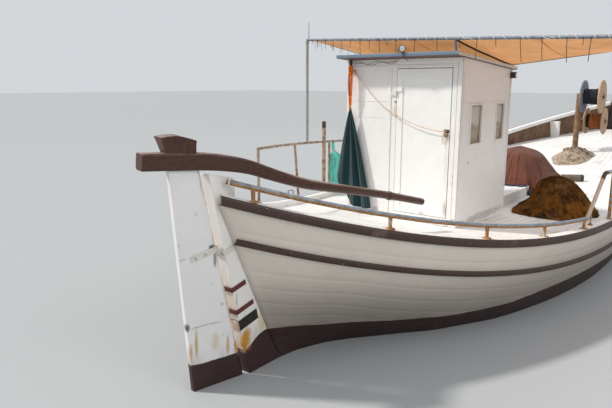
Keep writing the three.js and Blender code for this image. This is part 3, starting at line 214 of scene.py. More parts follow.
old_paint, takes, leave = effect(
    "old_paint",
    [
        ("Place", "Vector", None),
        ("Coat", "Color", (0.8, 0.8, 0.8, 1)),
        ("Grime", "Color", (0.3, 0.25, 0.18, 1)),
        ("Streak", "Color", (0.4, 0.2, 0.08, 1)),
        ("Below", "Color", (0.3, 0.3, 0.3, 1)),
        ("Grime share", "Float", 0.3),
        ("Streak share", "Float", 0.2),
        ("Chip share", "Float", 0.1),
        ("Roughness", "Float", 0.5),
    ],
    [("Colour", "Color"), ("Roughness", "Float"), ("Height", "Float"), ("Chips", "Float")],
)
tree = old_paint
broad = speckle(tree, takes["Place"], 1.1, 4.0, 0.6)
fine = speckle(tree, takes["Place"], 9.0, 6.0, 0.6)
blotch = sloped(tree, broad, 0.22, sloped(tree, fine, 0.12, 0.83))
shade = put(tree, "CombineColor", {0: blotch, 1: blotch, 2: blotch}).outputs[0]
coat = tinted(tree, 1.0, takes["Coat"], shade, "MULTIPLY")
grime_cloud = speckle(tree, takes["Place"], 3.1, 8.0, 0.68, 0.4)
grime_low = reckon(tree, "SUBTRACT", 0.78, times(tree, takes["Grime share"], 0.42))
grime = between(tree, grime_cloud, grime_low, plus(tree, grime_low, 0.22))
grime = times(tree, grime, 0.75)
coat = tinted(tree, grime, coat, takes["Grime"])
run_place = stretched(tree, takes["Place"], (11, 11, 0.55))
runs = speckle(tree, run_place, 1.0, 5.0, 0.6)
run_low = reckon(tree, "SUBTRACT", 0.76, times(tree, takes["Streak share"], 0.3))
runs = between(tree, runs, run_low, plus(tree, run_low, 0.16))
runs = times(tree, runs, between(tree, broad, 0.3, 0.65))
runs = times(tree, runs, 0.55)
coat = tinted(tree, runs, coat, takes["Streak"])
chip_cloud = speckle(tree, takes["Place"], 26.0, 9.0, 0.72)
chip_low = reckon(tree, "SUBTRACT", 0.74, times(tree, takes["Chip share"], 0.3))
chips = between(tree, chip_cloud, chip_low, plus(tree, chip_low, 0.018))
coat = tinted(tree, chips, coat, takes["Below"])
rough = sloped(tree, fine, 0.18, reckon(tree, "SUBTRACT", takes["Roughness"], 0.09))
rough = sloped(tree, grime, 0.25, rough)
rough = reckon(tree, "MULTIPLY_ADD", chips, 0.3, rough, clamp=True)
brush = speckle(tree, stretched(tree, takes["Place"], (30, 140, 140)), 1.0, 3.0, 0.5)
height = sloped(tree, brush, 0.12, times(tree, fine, 0.4))
height = sloped(tree, chips, -0.55, height)
wired(tree, leave, {"Colour": coat, "Roughness": rough, "Height": height, "Chips": chips})

WHITE = (0.80, 0.78, 0.75, 1)
BROWN = (0.05, 0.024, 0.018, 1)
BOTTOM_RED = (0.034, 0.011, 0.01, 1)
RUST = (0.30, 0.13, 0.045, 1)
OLD_WOOD = (0.27, 0.2, 0.14, 1)


def old_coat(tree, where, coat, grime, streak, below, shares, rough):
    wires = {"Place": where, "Coat": coat, "Grime": grime, "Streak": streak, "Below": below}
    wires.update({"Grime share": shares[0], "Streak share": shares[1], "Chip share": shares[2], "Roughness": rough})
    return put(tree, "Group", wires, node_tree=old_paint).outputs


def painted(
    name, coat, grime=(0.34, 0.29, 0.22, 1), streak=RUST, below=OLD_WOOD, shares=(0.3, 0.2, 0.1), rough=0.5,
    depth=0.002
):
    material, tree, shader, where = fresh_material(name)
    paint = old_coat(tree, where, coat, grime, streak, below, shares, rough)
    wired(tree, shader, {"Base Color": paint["Colour"], "Roughness": paint["Roughness"]})
    raised(tree, shader, paint["Height"], depth)
    return material


# Hull planking: carvel planks on the frames, from the rabbets of keel, stem and sternpost to the sheer.
# The planks are painted white above a dark red bottom, with filled seams and a few weeping fastenings. Their white is
# darker and warmer than the other whites, as painted shade and a painted warm reflection, and gets more painted shade
# low down.
HALF_BEAM = 1.9
WIDEST_X = 1.4
LOWEST_X = -0.2
STERN_END_X = -5.02
BOW_END_X = 8.35
LOWEST_SHEER = 0.808
BOW_SHEER_RISE = 1.13
CAP_HEIGHT = 0.075
CAP_WIDTH = 0.095
POST_HALF = 0.05
HEM = 0.058
FIT_GAP = 0.0003
PLANK_THICKNESS = 0.045
RABBET = [
    (-4.96, 1.56), (-4.834, 1.28), (-4.41, 0.33), (-4.35, 0.2), (-4.27, 0.06), (-4.15, -0.06), (-3.95, -0.19),
    (-3.6, -0.32), (-3.0, -0.44), (-2.0, -0.545), (-0.8, -0.6), (2.6, -0.62), (4.6, -0.59), (6.0, -0.52),
    (6.9, -0.39), (7.35, -0.19), (7.64, 0.11), (7.86, 0.52), (8.06, 1.02), (8.21, 1.48), (8.32, 1.94),
]
KEEL_AFT, KEEL_FORE = -3.95, 6.9
FULLNESS = [
    (-4.96, 1.0), (-4.4, 1.7), (-4.1, 2.15), (-3.7, 1.8), (-3.37, 1.3), (-2.9, 0.85), (-2.27, 0.6), (-1.27, 0.48),
    (-0.2, 0.4), (1.8, 0.4), (3.4, 0.5), (4.7, 0.72), (5.9, 1.0), (6.9, 1.3), (7.6, 1.3), (8.1, 1.1), (8.32, 1.0),
]


def along(table, x, column=1):
    return float(np.interp(x, [row[0] for row in table], [row[column] for row in table]))


def half_breadth(x):
    if x < WIDEST_X:
        full = 1 - ((WIDEST_X - x) / (WIDEST_X - STERN_END_X)) ** 2.94 if x > STERN_END_X else 0
    else:
        full = 1 - (min(x - WIDEST_X, BOW_END_X - WIDEST_X) / (BOW_END_X - WIDEST_X)) ** 2.3
    return max(HALF_BEAM * full, HEM)


def sheer(x):
    aft = max(LOWEST_X - x, 0)
    fore = max(x - LOWEST_X, 0) / (BOW_END_X - LOWEST_X)
    return LOWEST_SHEER + 0.0151 * aft**2.5 + BOW_SHEER_RISE * fore**1.6


def edge_point(x, inboard, up, side):
    slope = (half_breadth(x + 0.02) - half_breadth(x - 0.02)) / 0.04
    length = math.hypot(slope, 1)
    reach = min(inboard, (half_breadth(x) - POST_HALF - FIT_GAP) * length)
    y = half_breadth(x) - reach / length
    return Vector((x + reach * slope / length, side * y, sheer(x) + up))


def skin_breadth(x, z):
    foot = along(RABBET, x)
    share = min(max((z - foot) / (sheer(x) - foot), 0), 1)
    rise = (1 - (1 - share) ** 2.2) ** along(FULLNESS, x)
    return HEM + max(half_breadth(x) - HEM, 0) * rise


def plank_line(x, share):
    foot = along(RABBET, min(max(x, KEEL_AFT), KEEL_FORE))
    return foot + (sheer(x) - CAP_HEIGHT - FIT_GAP - foot) * share


def rabbet_crossing(share, outer, inner):
    for _ in range(40):
        middle = (outer + inner) / 2
        if along(RABBET, middle) > plank_line(middle, share):
            outer = middle
        else:
            inner = middle
    return inner


def stations(share, count):
    first = KEEL_AFT if share == 0 else rabbet_crossing(share, RABBET[0][0], KEEL_AFT)
    last = KEEL_FORE if share == 0 else rabbet_crossing(share, RABBET[-1][0], KEEL_FORE)
    made = []
    for i in range(count + 1):
        even = i / count
        made.append(first + (last - first) * (0.45 * even + 0.55 * (0.5 - 0.5 * cos(pi * even))))
    return made


def mesh_object(name, points, faces, smooth=True):
    mesh = bpy.data.meshes.new(name)
    mesh.from_pydata([tuple(p) for p in points], [], faces)
    mesh.polygons.foreach_set("use_smooth", [smooth] * len(mesh.polygons))
    return placed(name, mesh)


def facing_out(thing):
    shape = bmesh.new()
    shape.from_mesh(thing.data)
    bmesh.ops.recalc_face_normals(shape, faces=shape.faces)
    shape.to_mesh(thing.data)
    shape.free()
    return thing


def sheet_body(name, outer, inner):
    rows, cols = len(outer), len(outer[0])
    points = [p for row in outer for p in row] + [p for row in inner for p in row]
    half = rows * cols
    faces = []
    for i in range(rows - 1):
        for j in range(cols - 1):
            a = i * cols + j
            quad = (a, a + 1, a + cols + 1, a + cols)
            faces.append(quad)
            faces.append(tuple(half + k for k in reversed(quad)))
    rim = list(range(cols - 1)) + [i * cols + cols - 1 for i in range(rows - 1)]
    rim += [(rows - 1) * cols + j for j in range(cols - 1, 0, -1)] + [i * cols for i in range(rows - 1, 0, -1)]
    for k, a in enumerate(rim):
        b = rim[(k + 1) % len(rim)]
        faces.append((b, a, half + a, half + b))
    return facing_out(mesh_object(name, points, faces))


def dressed(thing, material, body, *nodes, slot=None):
    thing.data.materials.clear()
    thing.data.materials.append(material)
    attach(thing, body)
    if nodes:
        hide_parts(*nodes)
    return thing


SIDES = (("port", 1), ("starboard", -1))
PLANKS = 14
PLANK_ROWS = (0.0, 0.03, 0.28, 0.55, 0.8, 0.97)
SEAM_DEPTH = 0.0014
HULL_COLUMNS = 150


def planked_side(name, side):
    outer, inner = [], []
    for plank in range(PLANKS):
        rows = PLANK_ROWS + ((1.0,) if plank == PLANKS - 1 else ())
        for fraction in rows:
            share = ((plank + fraction) / PLANKS) ** 1.5
            out_row, in_row = [], []
            for x in stations(share, HULL_COLUMNS):
                z = plank_line(x, share)
                here = Vector((x, side * skin_breadth(x, z), z))
                ahead = Vector((x + 0.01, side * skin_breadth(x + 0.01, z), z))
                above = Vector((x, side * skin_breadth(x, z + 0.01), z + 0.01))
                normal = (ahead - here).cross(above - here).normalized()
                if normal.y * side < 0:
                    normal.negate()
                slack = max((abs(here.y) - POST_HALF - FIT_GAP) / max(abs(normal.y), 0.01), 0.0005)
                if share == 1:
                    normal = Vector((0, side, 0))
                deep = here - normal * min(PLANK_THICKNESS, slack)
                if fraction == 0 and plank > 0:
                    here = here - normal * min(SEAM_DEPTH, slack * 0.5)
                out_row.append(here)
                in_row.append(deep)
            outer.append(out_row)
            inner.append(in_row)
    return sheet_body(name, outer, inner)


# Columns of the bottom paint's edge: x, height
PAINT_EDGE = [
    (-5.3, 0.255), (-4.72, 0.215), (-4.42, 0.315), (-3.95, 0.272), (-3.4, 0.228), (-2.7, 0.208), (-1.6, 0.27),
    (2.0, 0.3), (8.4, 0.46)
]


def hull_finish(name, coat, shares, weeping, bottom_rough=0.62, painted_shade=0.0):
    material, tree, shader, where = fresh_material(name)
    top = old_coat(
        tree, where, coat, (0.42, 0.37, 0.29, 1), (0.45, 0.28, 0.12, 1), (0.42, 0.37, 0.3, 1), shares, 0.42
    )
    slime, salt, bare = (0.035, 0.03, 0.022, 1), (0.12, 0.06, 0.04, 1), (0.2, 0.14, 0.12, 1)
    low = old_coat(tree, where, BOTTOM_RED, slime, salt, bare, (0.75, 0.6, 0.16), bottom_rough)
    parts = split(tree, where)
    first, last = PAINT_EDGE[0][0], PAINT_EDGE[-1][0]
    share = reckon(tree, "DIVIDE", plus(tree, parts[0], -first), last - first)
    curve = put(tree, "FloatCurve", {"Value": share})
    line = curve.mapping.curves[0]
    while len(line.points) < len(PAINT_EDGE):
        line.points.new(0.5, 0.5)
    for point, (x, z) in zip(line.points, PAINT_EDGE):
        point.location = ((x - first) / (last - first), z)
    curve.mapping.update()
    wobble = sloped(tree, speckle(tree, where, 5.0, 4.0), 0.02, -0.01)
    above = reckon(tree, "SUBTRACT", plus(tree, parts[2], wobble), curve.outputs[0])
    is_low = between(tree, above, 0.004, -0.004)
    scum = times(
        tree, between(tree, above, 0.16, 0.0),
        between(tree, speckle(tree, stretched(tree, where, (6, 6, 1.2)), 1.0, 5.0), 0.42, 0.7)
    )
    upper = tinted(tree, times(tree, scum, 0.6), top["Colour"], (0.36, 0.3, 0.2, 1))
    spots = put(
        tree, "TexVoronoi", {"Vector": stretched(tree, where, (1.0, 1.0, 2.2)), "Scale": 3.4, "Randomness": 0.9}
    ).outputs[0]
    weeps = times(tree, between(tree, spots, 0.045, 0.012), weeping)
    upper = tinted(tree, weeps, upper, (0.2, 0.1, 0.045, 1))
    # Painted shade: the white coat darkens towards the bottom paint's edge.
    upper = tinted(tree, times(tree, between(tree, above, 0.66, 0.08), painted_shade), upper, (0.27, 0.235, 0.2, 1))
    wired(tree, shader, {"Base Color": tinted(tree, is_low, upper, low["Colour"])})
    rough = plus(
        tree, times(tree, is_low, low["Roughness"]),
        times(tree, reckon(tree, "SUBTRACT", 1.0, is_low), top["Roughness"])
    )
    wired(tree, shader, {"Roughness": rough})
    raised(tree, shader, sloped(tree, is_low, low["Height"], top["Height"]), 0.0025)
    return material


# The hull's white is darker and warmer than the other whites: painted shade and a painted warm reflection.
hull_paint = hull_finish("hull_paint", (0.67, 0.605, 0.53, 1), (0.42, 0.25, 0.06), 0.8, painted_shade=0.8)
for word, side in SIDES:
    planks = planked_side(f"planking_{word}", side)
    dressed(planks, hull_paint, "hull", f"hull_planking_{word}", slot="white_paint")

# Centreline timbers: keel, deadwood, sternpost and stem, sawn from thick timber and bolted together.
# They are painted with the hull; the sternpost is stained below its iron straps and worn where the rudder turns.
def softened(name, node, radius, segments=2, angle=25):
    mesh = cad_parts[node].data.copy()
    shape = bmesh.new()
    shape.from_mesh(mesh)
    bmesh.ops.remove_doubles(shape, verts=shape.verts, dist=2e-5)
    bmesh.ops.dissolve_limit(shape, angle_limit=math.radians(1.5), verts=shape.verts, edges=shape.edges)
    sharp = [
        edge for edge in shape.edges if len(edge.link_faces) == 2 and edge.calc_face_angle() > math.radians(angle)
    ]
    bmesh.ops.bevel(
        shape, geom=sharp, offset=radius, offset_type="OFFSET", segments=segments, profile=0.5, affect="EDGES",
        clamp_overlap=True
    )
    bmesh.ops.recalc_face_normals(shape, faces=shape.faces)
    shape.to_mesh(mesh)
    shape.free()
    mesh.polygons.foreach_set("use_smooth", [True] * len(mesh.polygons))
    made = placed(name, mesh)
    made.modifiers.new("flat_faces", "WEIGHTED_NORMAL").keep_sharp = True
    return made


def carried_over(name, node, radius, paint, body, slot, segments=2):
    return dressed(softened(name, node, radius, segments), paint, body, node, slot=slot)


def stain_and_shade_patch(tree, where, centre, halves, grain=9.0):
    moved = put(tree, "VectorMath", {0: where, 1: centre}, operation="SUBTRACT").outputs[0]
    scaled = put(tree, "VectorMath", {0: moved, 1: halves}, operation="DIVIDE").outputs[0]
    far = put(tree, "VectorMath", {0: scaled}, operation="LENGTH").outputs["Value"]
    cloud = speckle(tree, where, grain, 5.0)
    ragged = plus(tree, far, sloped(tree, cloud, -1.3, 0.65))
    return between(tree, ragged, 1.0, 0.35)


def opened(material):
    tree = material.node_tree
    shader = next(n for n in tree.nodes if n.type == "BSDF_PRINCIPLED")
    where = next(n for n in tree.nodes if n.type == "TEX_COORD").outputs["Object"]
    return tree, shader, where, shader.inputs["Base Color"].links[0].from_socket


def add_stains_and_shade(material, marks):
    tree, shader, where, colour = opened(material)
    for centre, halves, tint, strength in marks:
        mask = times(tree, stain_and_shade_patch(tree, where, centre, halves), strength)
        colour = tinted(tree, mask, colour, tint)
    wired(tree, shader, {"Base Color": colour})
    return material


YELLOW_RUST = (0.52, 0.25, 0.035, 1)
ORANGE_RUST = (0.42, 0.15, 0.02, 1)
DARK_RUST = (0.09, 0.035, 0.015, 1)
PALE_WOOD = (0.5, 0.36, 0.22, 1)
RUDDER_FOOT_X = -4.639
RUDDER_SLOPE = 0.2221


def beside_axis(material, first, last, tint, strength, grain=(7, 7, 1.6), aloft=1.0):
    tree, shader, where, colour = opened(material)
    parts = split(tree, where)
    ahead = plus(tree, sloped(tree, parts[2], RUDDER_SLOPE, -RUDDER_FOOT_X), parts[0])
    cloud = speckle(tree, stretched(tree, where, grain), 3.0, 6.0, 0.7)
    wander = sloped(tree, cloud, 0.05, -0.025)
    near = between(tree, plus(tree, ahead, wander), first, last)
    level = times(tree, between(tree, parts[2], 1.1, 0.75, aloft, 1.0), between(tree, parts[2], 0.17, 0.21))
    mask = times(tree, times(tree, near, level), between(tree, cloud, 0.36, 0.62))
    colour = tinted(tree, times(tree, mask, strength), colour, tint)
    wired(tree, shader, {"Base Color": colour})
    return material


post_paint = hull_finish("sternpost_paint", (0.79, 0.765, 0.73, 1), (0.45, 0.45, 0.1), 0.5)
beside_axis(post_paint, 0.034, 0.014, PALE_WOOD, 0.95, aloft=0.1)
beside_axis(post_paint, 0.022, 0.01, ORANGE_RUST, 0.7, (9, 9, 2.5), aloft=0.0)
add_stains_and_shade(
    post_paint,
    [
        ((-4.655, -0.05, 0.31), (0.075, 0.05, 0.13), YELLOW_RUST, 1.0),
        ((-4.69, -0.05, 0.24), (0.05, 0.05, 0.06), ORANGE_RUST, 0.9),
        ((-4.77, -0.05, 0.4), (0.03, 0.05, 0.22), YELLOW_RUST, 0.8),
        ((-4.47, -0.05, 0.42), (0.05, 0.06, 0.14), (0.62, 0.45, 0.2, 1), 0.6),
        ((-4.919, -0.05, 1.281), (0.013, 0.05, 0.013), DARK_RUST, 1.0),
        ((-4.765, -0.05, 1.205), (0.022, 0.05, 0.028), YELLOW_RUST, 0.7),
        ((-4.93, -0.05, 1.2), (0.03, 0.05, 0.06), (0.05, 0.09, 0.08, 1), 0.9),
        ((-4.94, -0.05, 1.02), (0.02, 0.05, 0.05), DARK_RUST, 0.7),
        ((-4.745, -0.05, 0.67), (0.006, 0.05, 0.1), DARK_RUST, 0.7),
        ((-4.66, -0.05, 0.48), (0.006, 0.05, 0.09), DARK_RUST, 0.6),
    ],
)
sternpost = softened("sternpost", "stern_post", 0.006)
crest = max(v.co.z for v in sternpost.data.vertices)
for v in sternpost.data.vertices:
    if v.co.z > crest - 0.03:
        v.co.z += 0.055 * min(max((-4.8 - v.co.x) / 0.12, 0), 1)
dressed(sternpost, post_paint, "hull", "stern_post", slot="white_paint")
under_paint = hull_finish("keel_paint", WHITE, (0.4, 0.3, 0.1), 0.4, 0.7)
carried_over("aft_deadwood", "deadwood", 0.005, under_paint, "hull", "bottom_paint")
carried_over("keel_timber", "keel", 0.008, under_paint, "hull", "bottom_paint")
stem_paint = hull_finish("stem_paint", BROWN, (0.3, 0.2, 0.14), 0.2)
carried_over("stem", "stem_post", 0.008, stem_paint, "hull", "brown_paint")

# Cap rails: flat oak boards along the top of the planking, painted white.
# They are chipped at the edges and round the rail's feet, and the timber greys where the paint has gone.
def lofted(name, rings, sharp=35):
    n = len(rings[0])
    points = [p for ring in rings for p in ring]
    faces = []
    for i in range(len(rings) - 1):
        for j in range(n):
            k = (j + 1) % n
            faces.append((i * n + j, i * n + k, (i + 1) * n + k, (i + 1) * n + j))
    faces.append(tuple(range(n)))
    faces.append(tuple((len(rings) - 1) * n + j for j in reversed(range(n))))
    made = facing_out(mesh_object(name, points, faces))
    made.data.set_sharp_from_angle(angle=math.radians(sharp))
    return made


cap_paint = painted(
    "cap_rail_paint", (0.80, 0.785, 0.77, 1), below=(0.12, 0.09, 0.07, 1), shares=(0.4, 0.25, 0.42), rough=0.5,
    depth=0.003
)
LOW_POSTS = (-4.73, -3.8, -2.87, -2.07, -1.255)
CAP_PROFILE = [
    (0.0, -0.004), (0.004, 0.0), (0.091, 0.0), (0.095, -0.004), (0.095, -0.071), (0.091, -0.075), (0.004, -0.075),
    (0.0, -0.071)
]
RAIL_INBOARD = 0.045


def lump(x, y, z):
    return noise.noise(Vector((x, y, z)))


def rail_point(x, up, side):
    return edge_point(x, RAIL_INBOARD, up, side)


cap_xs = stations(1.0, 170)
for word, side in SIDES:
    rings = []
    for x in cap_xs:
        wear = 0.0014 * lump(x * 2.7, side * 3.0, 0.5)
        rings.append([edge_point(x, inboard, up + wear * (up > -0.01), side) for inboard, up in CAP_PROFILE])
    dressed(lofted(f"cap_board_{word}", rings), cap_paint, "hull", f"cap_rail_{word}", slot="white_paint")
rust_rings = []
for x in LOW_POSTS:
    foot = rail_point(x, 0, -1)
    rust_rings.append((tuple(foot), (0.085, 0.07, 0.03), YELLOW_RUST, 0.75))
    rust_rings.append((tuple(foot), (0.045, 0.04, 0.03), DARK_RUST, 0.8))
add_stains_and_shade(cap_paint, rust_rings)

# Rubbing bands: half-round hardwood strakes nailed along the hull, brown paint scuffed by ropes and fenders.
# The upper one covers the outer edge of the cap, the lower one runs a plank lower.
band_paint = painted(
    "band_paint", BROWN, grime=(0.19, 0.14, 0.11, 1), streak=(0.32, 0.26, 0.2, 1), below=(0.5, 0.43, 0.36, 1),
    shares=(0.5, 0.3, 0.3), rough=0.5, depth=0.003,
)
UPPER_BAND_OUT, UPPER_BAND_HEIGHT = 0.03, 0.072
LOWER_BAND_OUT, LOWER_BAND_HEIGHT, LOWER_BAND_DROP = 0.026, 0.052, 0.3
BAND_PROFILE = [
    (0, 0), (0.45, 0.0), (0.78, -0.06), (0.95, -0.2), (1, -0.36), (1, -0.64), (0.95, -0.8), (0.78, -0.94), (0.45, -1),
    (0, -1)
]


def band_scuff(x, side, row):
    return 1 + 0.05 * lump(x * 3.1, side * 5 + row, 0.2) + 0.03 * lump(x * 11.0, side + row, 4.2)


for word, side in SIDES:
    rings = []
    for x in cap_xs:
        scuff = band_scuff(x, side, 1)
        ring = []
        for out, down in BAND_PROFILE:
            ring.append(edge_point(x, -FIT_GAP - out * UPPER_BAND_OUT * scuff, down * UPPER_BAND_HEIGHT, side))
        rings.append(ring)
    dressed(lofted(f"upper_band_{word}", rings), band_paint, "hull", f"upper_rubbing_band_{word}", slot="brown_paint")
    rings = []
    for x in [-4.765] + [x for x in cap_xs if -4.76 < x < 8.09] + [8.1]:
        scuff = band_scuff(x, side, 2)
        ring = []
        for out, down in BAND_PROFILE:
            z = sheer(x) - LOWER_BAND_DROP + down * LOWER_BAND_HEIGHT
            here = skin_breadth(x, z)
            slope = (skin_breadth(x + 0.02, z) - here) / 0.02
            length = math.hypot(slope, 1)
            reach = out * LOWER_BAND_OUT * scuff if out else -0.004
            ring.append(Vector((x - reach * slope / length, side * (here + reach / length), z)))
        rings.append(ring)
    dressed(lofted(f"lower_band_{word}", rings), band_paint, "hull", f"lower_rubbing_band_{word}", slot="brown_paint")

# Deck: planks laid along the boat and bent to its sides, payed with seams and painted white.
# It is cambered, and forward of amidships it lies lower than the rail, so that the bulwark stands above it.
DECK_PLANKS = 34
DECK_CAMBER = 0.05
deck_paint = painted(
    "deck_paint", (0.76, 0.75, 0.735, 1), grime=(0.36, 0.32, 0.27, 1), streak=(0.4, 0.3, 0.2, 1),
    below=(0.3, 0.27, 0.24, 1), shares=(0.6, 0.1, 0.2), rough=0.62, depth=0.002,
)


def deck_edge(x):
    rise = sheer(x) - LOWEST_SHEER if x > LOWEST_X else 0
    return edge_point(x, 0.01 if x > LOWEST_X + 0.4 else CAP_WIDTH + FIT_GAP, 0, 1), sheer(x) - 0.065 - 0.5 * rise


def deck_row(x):
    edge, level = deck_edge(x)
    half = edge.y - (0.036 if x > LOWEST_X + 0.4 else 0)
    row = []
    for plank in range(DECK_PLANKS):
        for fraction in (0.0, 0.05, 0.5, 0.95):
            share = 2 * (plank + fraction) / DECK_PLANKS - 1
            z = level + DECK_CAMBER * (edge.y / HALF_BEAM) ** 2 * (1 - share * share)
            if fraction == 0 and plank:
                z -= 0.0035
            row.append(Vector((edge.x, share * half, z)))
    row.append(Vector((edge.x, half, level)))
    return row


deck_rows = [deck_row(x) for x in cap_xs if -4.7 < x < 7.86]
deck_under = [[p - Vector((0, 0, 0.034)) for p in row] for row in deck_rows]
dressed(sheet_body("deck_planks", deck_rows, deck_under), deck_paint, "hull", "deck", slot="deck_paint")

# Wheelhouse walls: plywood on frames with cover strips, brushed white many times and grimy, with painted shade low
# down along their feet.
# The aft wall has the doorway, the side walls two small windows each, the front wall two larger ones.
def box_at(name, low, high, radius=0.0015, segments=2):
    made = mesh_object(name, *box_shape(low, high))
    if radius:
        rounded(made, radius, segments)
    return made


def box_shape(low, high):
    points = [(x, y, z) for x in (low[0], high[0]) for y in (low[1], high[1]) for z in (low[2], high[2])]
    faces = [(0, 1, 3, 2), (4, 6, 7, 5), (0, 4, 5, 1), (2, 3, 7, 6), (0, 2, 6, 4), (1, 5, 7, 3)]
    return points, faces


def rounded(thing, radius, segments=2):
    shape = bmesh.new()
    shape.from_mesh(thing.data)
    bmesh.ops.bevel(
        shape, geom=shape.edges[:], offset=radius, segments=segments, profile=0.5, affect="EDGES", clamp_overlap=True
    )
    bmesh.ops.recalc_face_normals(shape, faces=shape.faces)
    shape.to_mesh(thing.data)
    shape.free()
    thing.data.polygons.foreach_set("use_smooth", [True] * len(thing.data.polygons))
    thing.modifiers.new("flat_faces", "WEIGHTED_NORMAL")
    return thing


def joined(name, things):
    mesh = bpy.data.meshes.new(name)
    shape = bmesh.new()
    for thing in things:
        part = thing.data.copy()
        shape.from_mesh(part)
        old = thing.data
        bpy.data.objects.remove(thing)
        bpy.data.meshes.remove(old)
        bpy.data.meshes.remove(part)
    shape.to_mesh(mesh)
    shape.free()
    return placed(name, mesh)


def strips(name, boxes, radius=0.002):
    made = joined(name, [box_at("strip", low, high, radius) for low, high in boxes])
    made.modifiers.new("flat_faces", "WEIGHTED_NORMAL")
    return made


wall_paint = painted(
    "wheelhouse_paint", (0.80, 0.785, 0.765, 1), grime=(0.5, 0.44, 0.36, 1), streak=(0.5, 0.36, 0.22, 1),
    below=(0.3, 0.22, 0.15, 1), shares=(0.3, 0.3, 0.05), rough=0.42,
)
trim_paint = painted(
    "wheelhouse_trim_paint", (0.80, 0.78, 0.75, 1), grime=(0.45, 0.36, 0.25, 1), streak=(0.42, 0.2, 0.07, 1),
    below=(0.33, 0.2, 0.11, 1), shares=(0.5, 0.6, 0.35), rough=0.45,
)
add_stains_and_shade(
    wall_paint,
    [
        ((-2.2, 0.665, 1.98), (0.03, 0.03, 0.09), ORANGE_RUST, 0.4),
        ((-2.2, 0.06, 2.14), (0.02, 0.04, 0.025), DARK_RUST, 0.8),
        ((-2.2, 0.06, 2.05), (0.012, 0.04, 0.12), (0.45, 0.3, 0.18, 1), 0.5),
        ((-1.96, -0.69, 1.51), (0.035, 0.05, 0.02), (0.4, 0.25, 0.15, 1), 0.7),
        # Painted shade: the next two grey bands lie along the feet of the aft and starboard walls, where they meet
        # the deck.
        ((-2.2, 0.3, 0.93), (0.5, 0.06, 0.05), (0.32, 0.29, 0.25, 1), 0.6),
        ((-1.5, -0.69, 0.87), (0.8, 0.06, 0.06), (0.33, 0.31, 0.3, 1), 0.6),
        ((-2.2, 0.62, 2.45), (0.05, 0.05, 0.06), (0.3, 0.22, 0.15, 1), 0.7),
    ],
)
for word in ("aft", "port", "starboard", "front"):
    carried_over(f"{word}_wall", f"wheelhouse_{word}_wall", 0.003, wall_paint, "hull", "white_paint")


HOUSE_AFT, HOUSE_FRONT, HOUSE_SIDE = -2.2, -0.85, 0.69
SIDE_WINDOWS = (("aft", -1.95, -1.67), ("forward", -1.25, -1.03))
SIDE_SILL, SIDE_LINTEL = 1.71, 2.11
FRONT_SILL, FRONT_LINTEL = 1.65, 2.15


def house_top(x):
    return 2.59 + (2.497 - 2.59) * (x - HOUSE_AFT) / (HOUSE_FRONT - HOUSE_AFT)


aft_trim = [
    ((HOUSE_AFT - 0.014, -HOUSE_SIDE, 0.95), (HOUSE_AFT, -0.645, 2.585)),
    ((HOUSE_AFT - 0.011, -0.64, 0.90), (HOUSE_AFT, -0.594, 2.585)),
    ((HOUSE_AFT - 0.008, 0.645, 0.90), (HOUSE_AFT, HOUSE_SIDE, 2.585)),
    ((HOUSE_AFT - 0.008, 0.116, 0.89), (HOUSE_AFT, 0.158, 2.5)),
    ((HOUSE_AFT - 0.008, -0.594, 2.497), (HOUSE_AFT, 0.645, 2.525)),
    ((HOUSE_AFT - 0.012, -HOUSE_SIDE, 2.545), (HOUSE_AFT, HOUSE_SIDE, 2.588)),
    ((HOUSE_AFT - 0.004, 0.158, 2.143), (HOUSE_AFT, 0.645, 2.149)),
    ((HOUSE_AFT - 0.003, 0.158, 1.965), (HOUSE_AFT, 0.645, 1.968)),
    ((HOUSE_AFT - 0.012, -0.594, 0.862), (HOUSE_AFT, 0.116, 0.898)),
]
dressed(strips("aft_wall_cover_strips", aft_trim), trim_paint, "hull")
for word, side in SIDES:
    face = side * HOUSE_SIDE
    boxes = []

    def strip(x0, x1, z0, z1, proud):
        y0, y1 = sorted((face, face + side * proud))
        boxes.append(((x0, y0, z0), (x1, y1, z1)))

    strip(HOUSE_AFT, HOUSE_AFT + 0.035, 0.92, 2.585, 0.007)
    strip(HOUSE_FRONT - 0.035, HOUSE_FRONT, 0.86, 2.495, 0.007)
    strip(HOUSE_AFT + 0.035, HOUSE_FRONT - 0.035, 2.138, 2.144, 0.004)
    for _, x0, x1 in SIDE_WINDOWS:
        strip(x0 - 0.022, x1 + 0.022, SIDE_LINTEL, SIDE_LINTEL + 0.02, 0.007)
        strip(x0 - 0.022, x1 + 0.022, SIDE_SILL - 0.02, SIDE_SILL, 0.009)
        strip(x0 - 0.022, x0, SIDE_SILL, SIDE_LINTEL, 0.007)
        strip(x1, x1 + 0.022, SIDE_SILL, SIDE_LINTEL, 0.007)
    dressed(strips(f"{word}_wall_cover_strips", boxes), trim_paint, "hull")
front_trim = []
for y0, y1 in ((0.09, 0.56), (-0.56, -0.09)):
    for side_low, side_high, low, high, proud in (
        (y0 - 0.03, y1 + 0.03, FRONT_LINTEL, FRONT_LINTEL + 0.03, 0.01),
        (y0 - 0.03, y1 + 0.03, FRONT_SILL - 0.03, FRONT_SILL, 0.012),
        (y0 - 0.03, y0, FRONT_SILL, FRONT_LINTEL, 0.01),
        (y1, y1 + 0.03, FRONT_SILL, FRONT_LINTEL, 0.01),
    ):
        front_trim.append(((HOUSE_FRONT, side_low, low), (HOUSE_FRONT + proud, side_high, high)))
dressed(strips("front_window_strips", front_trim), trim_paint, "hull")
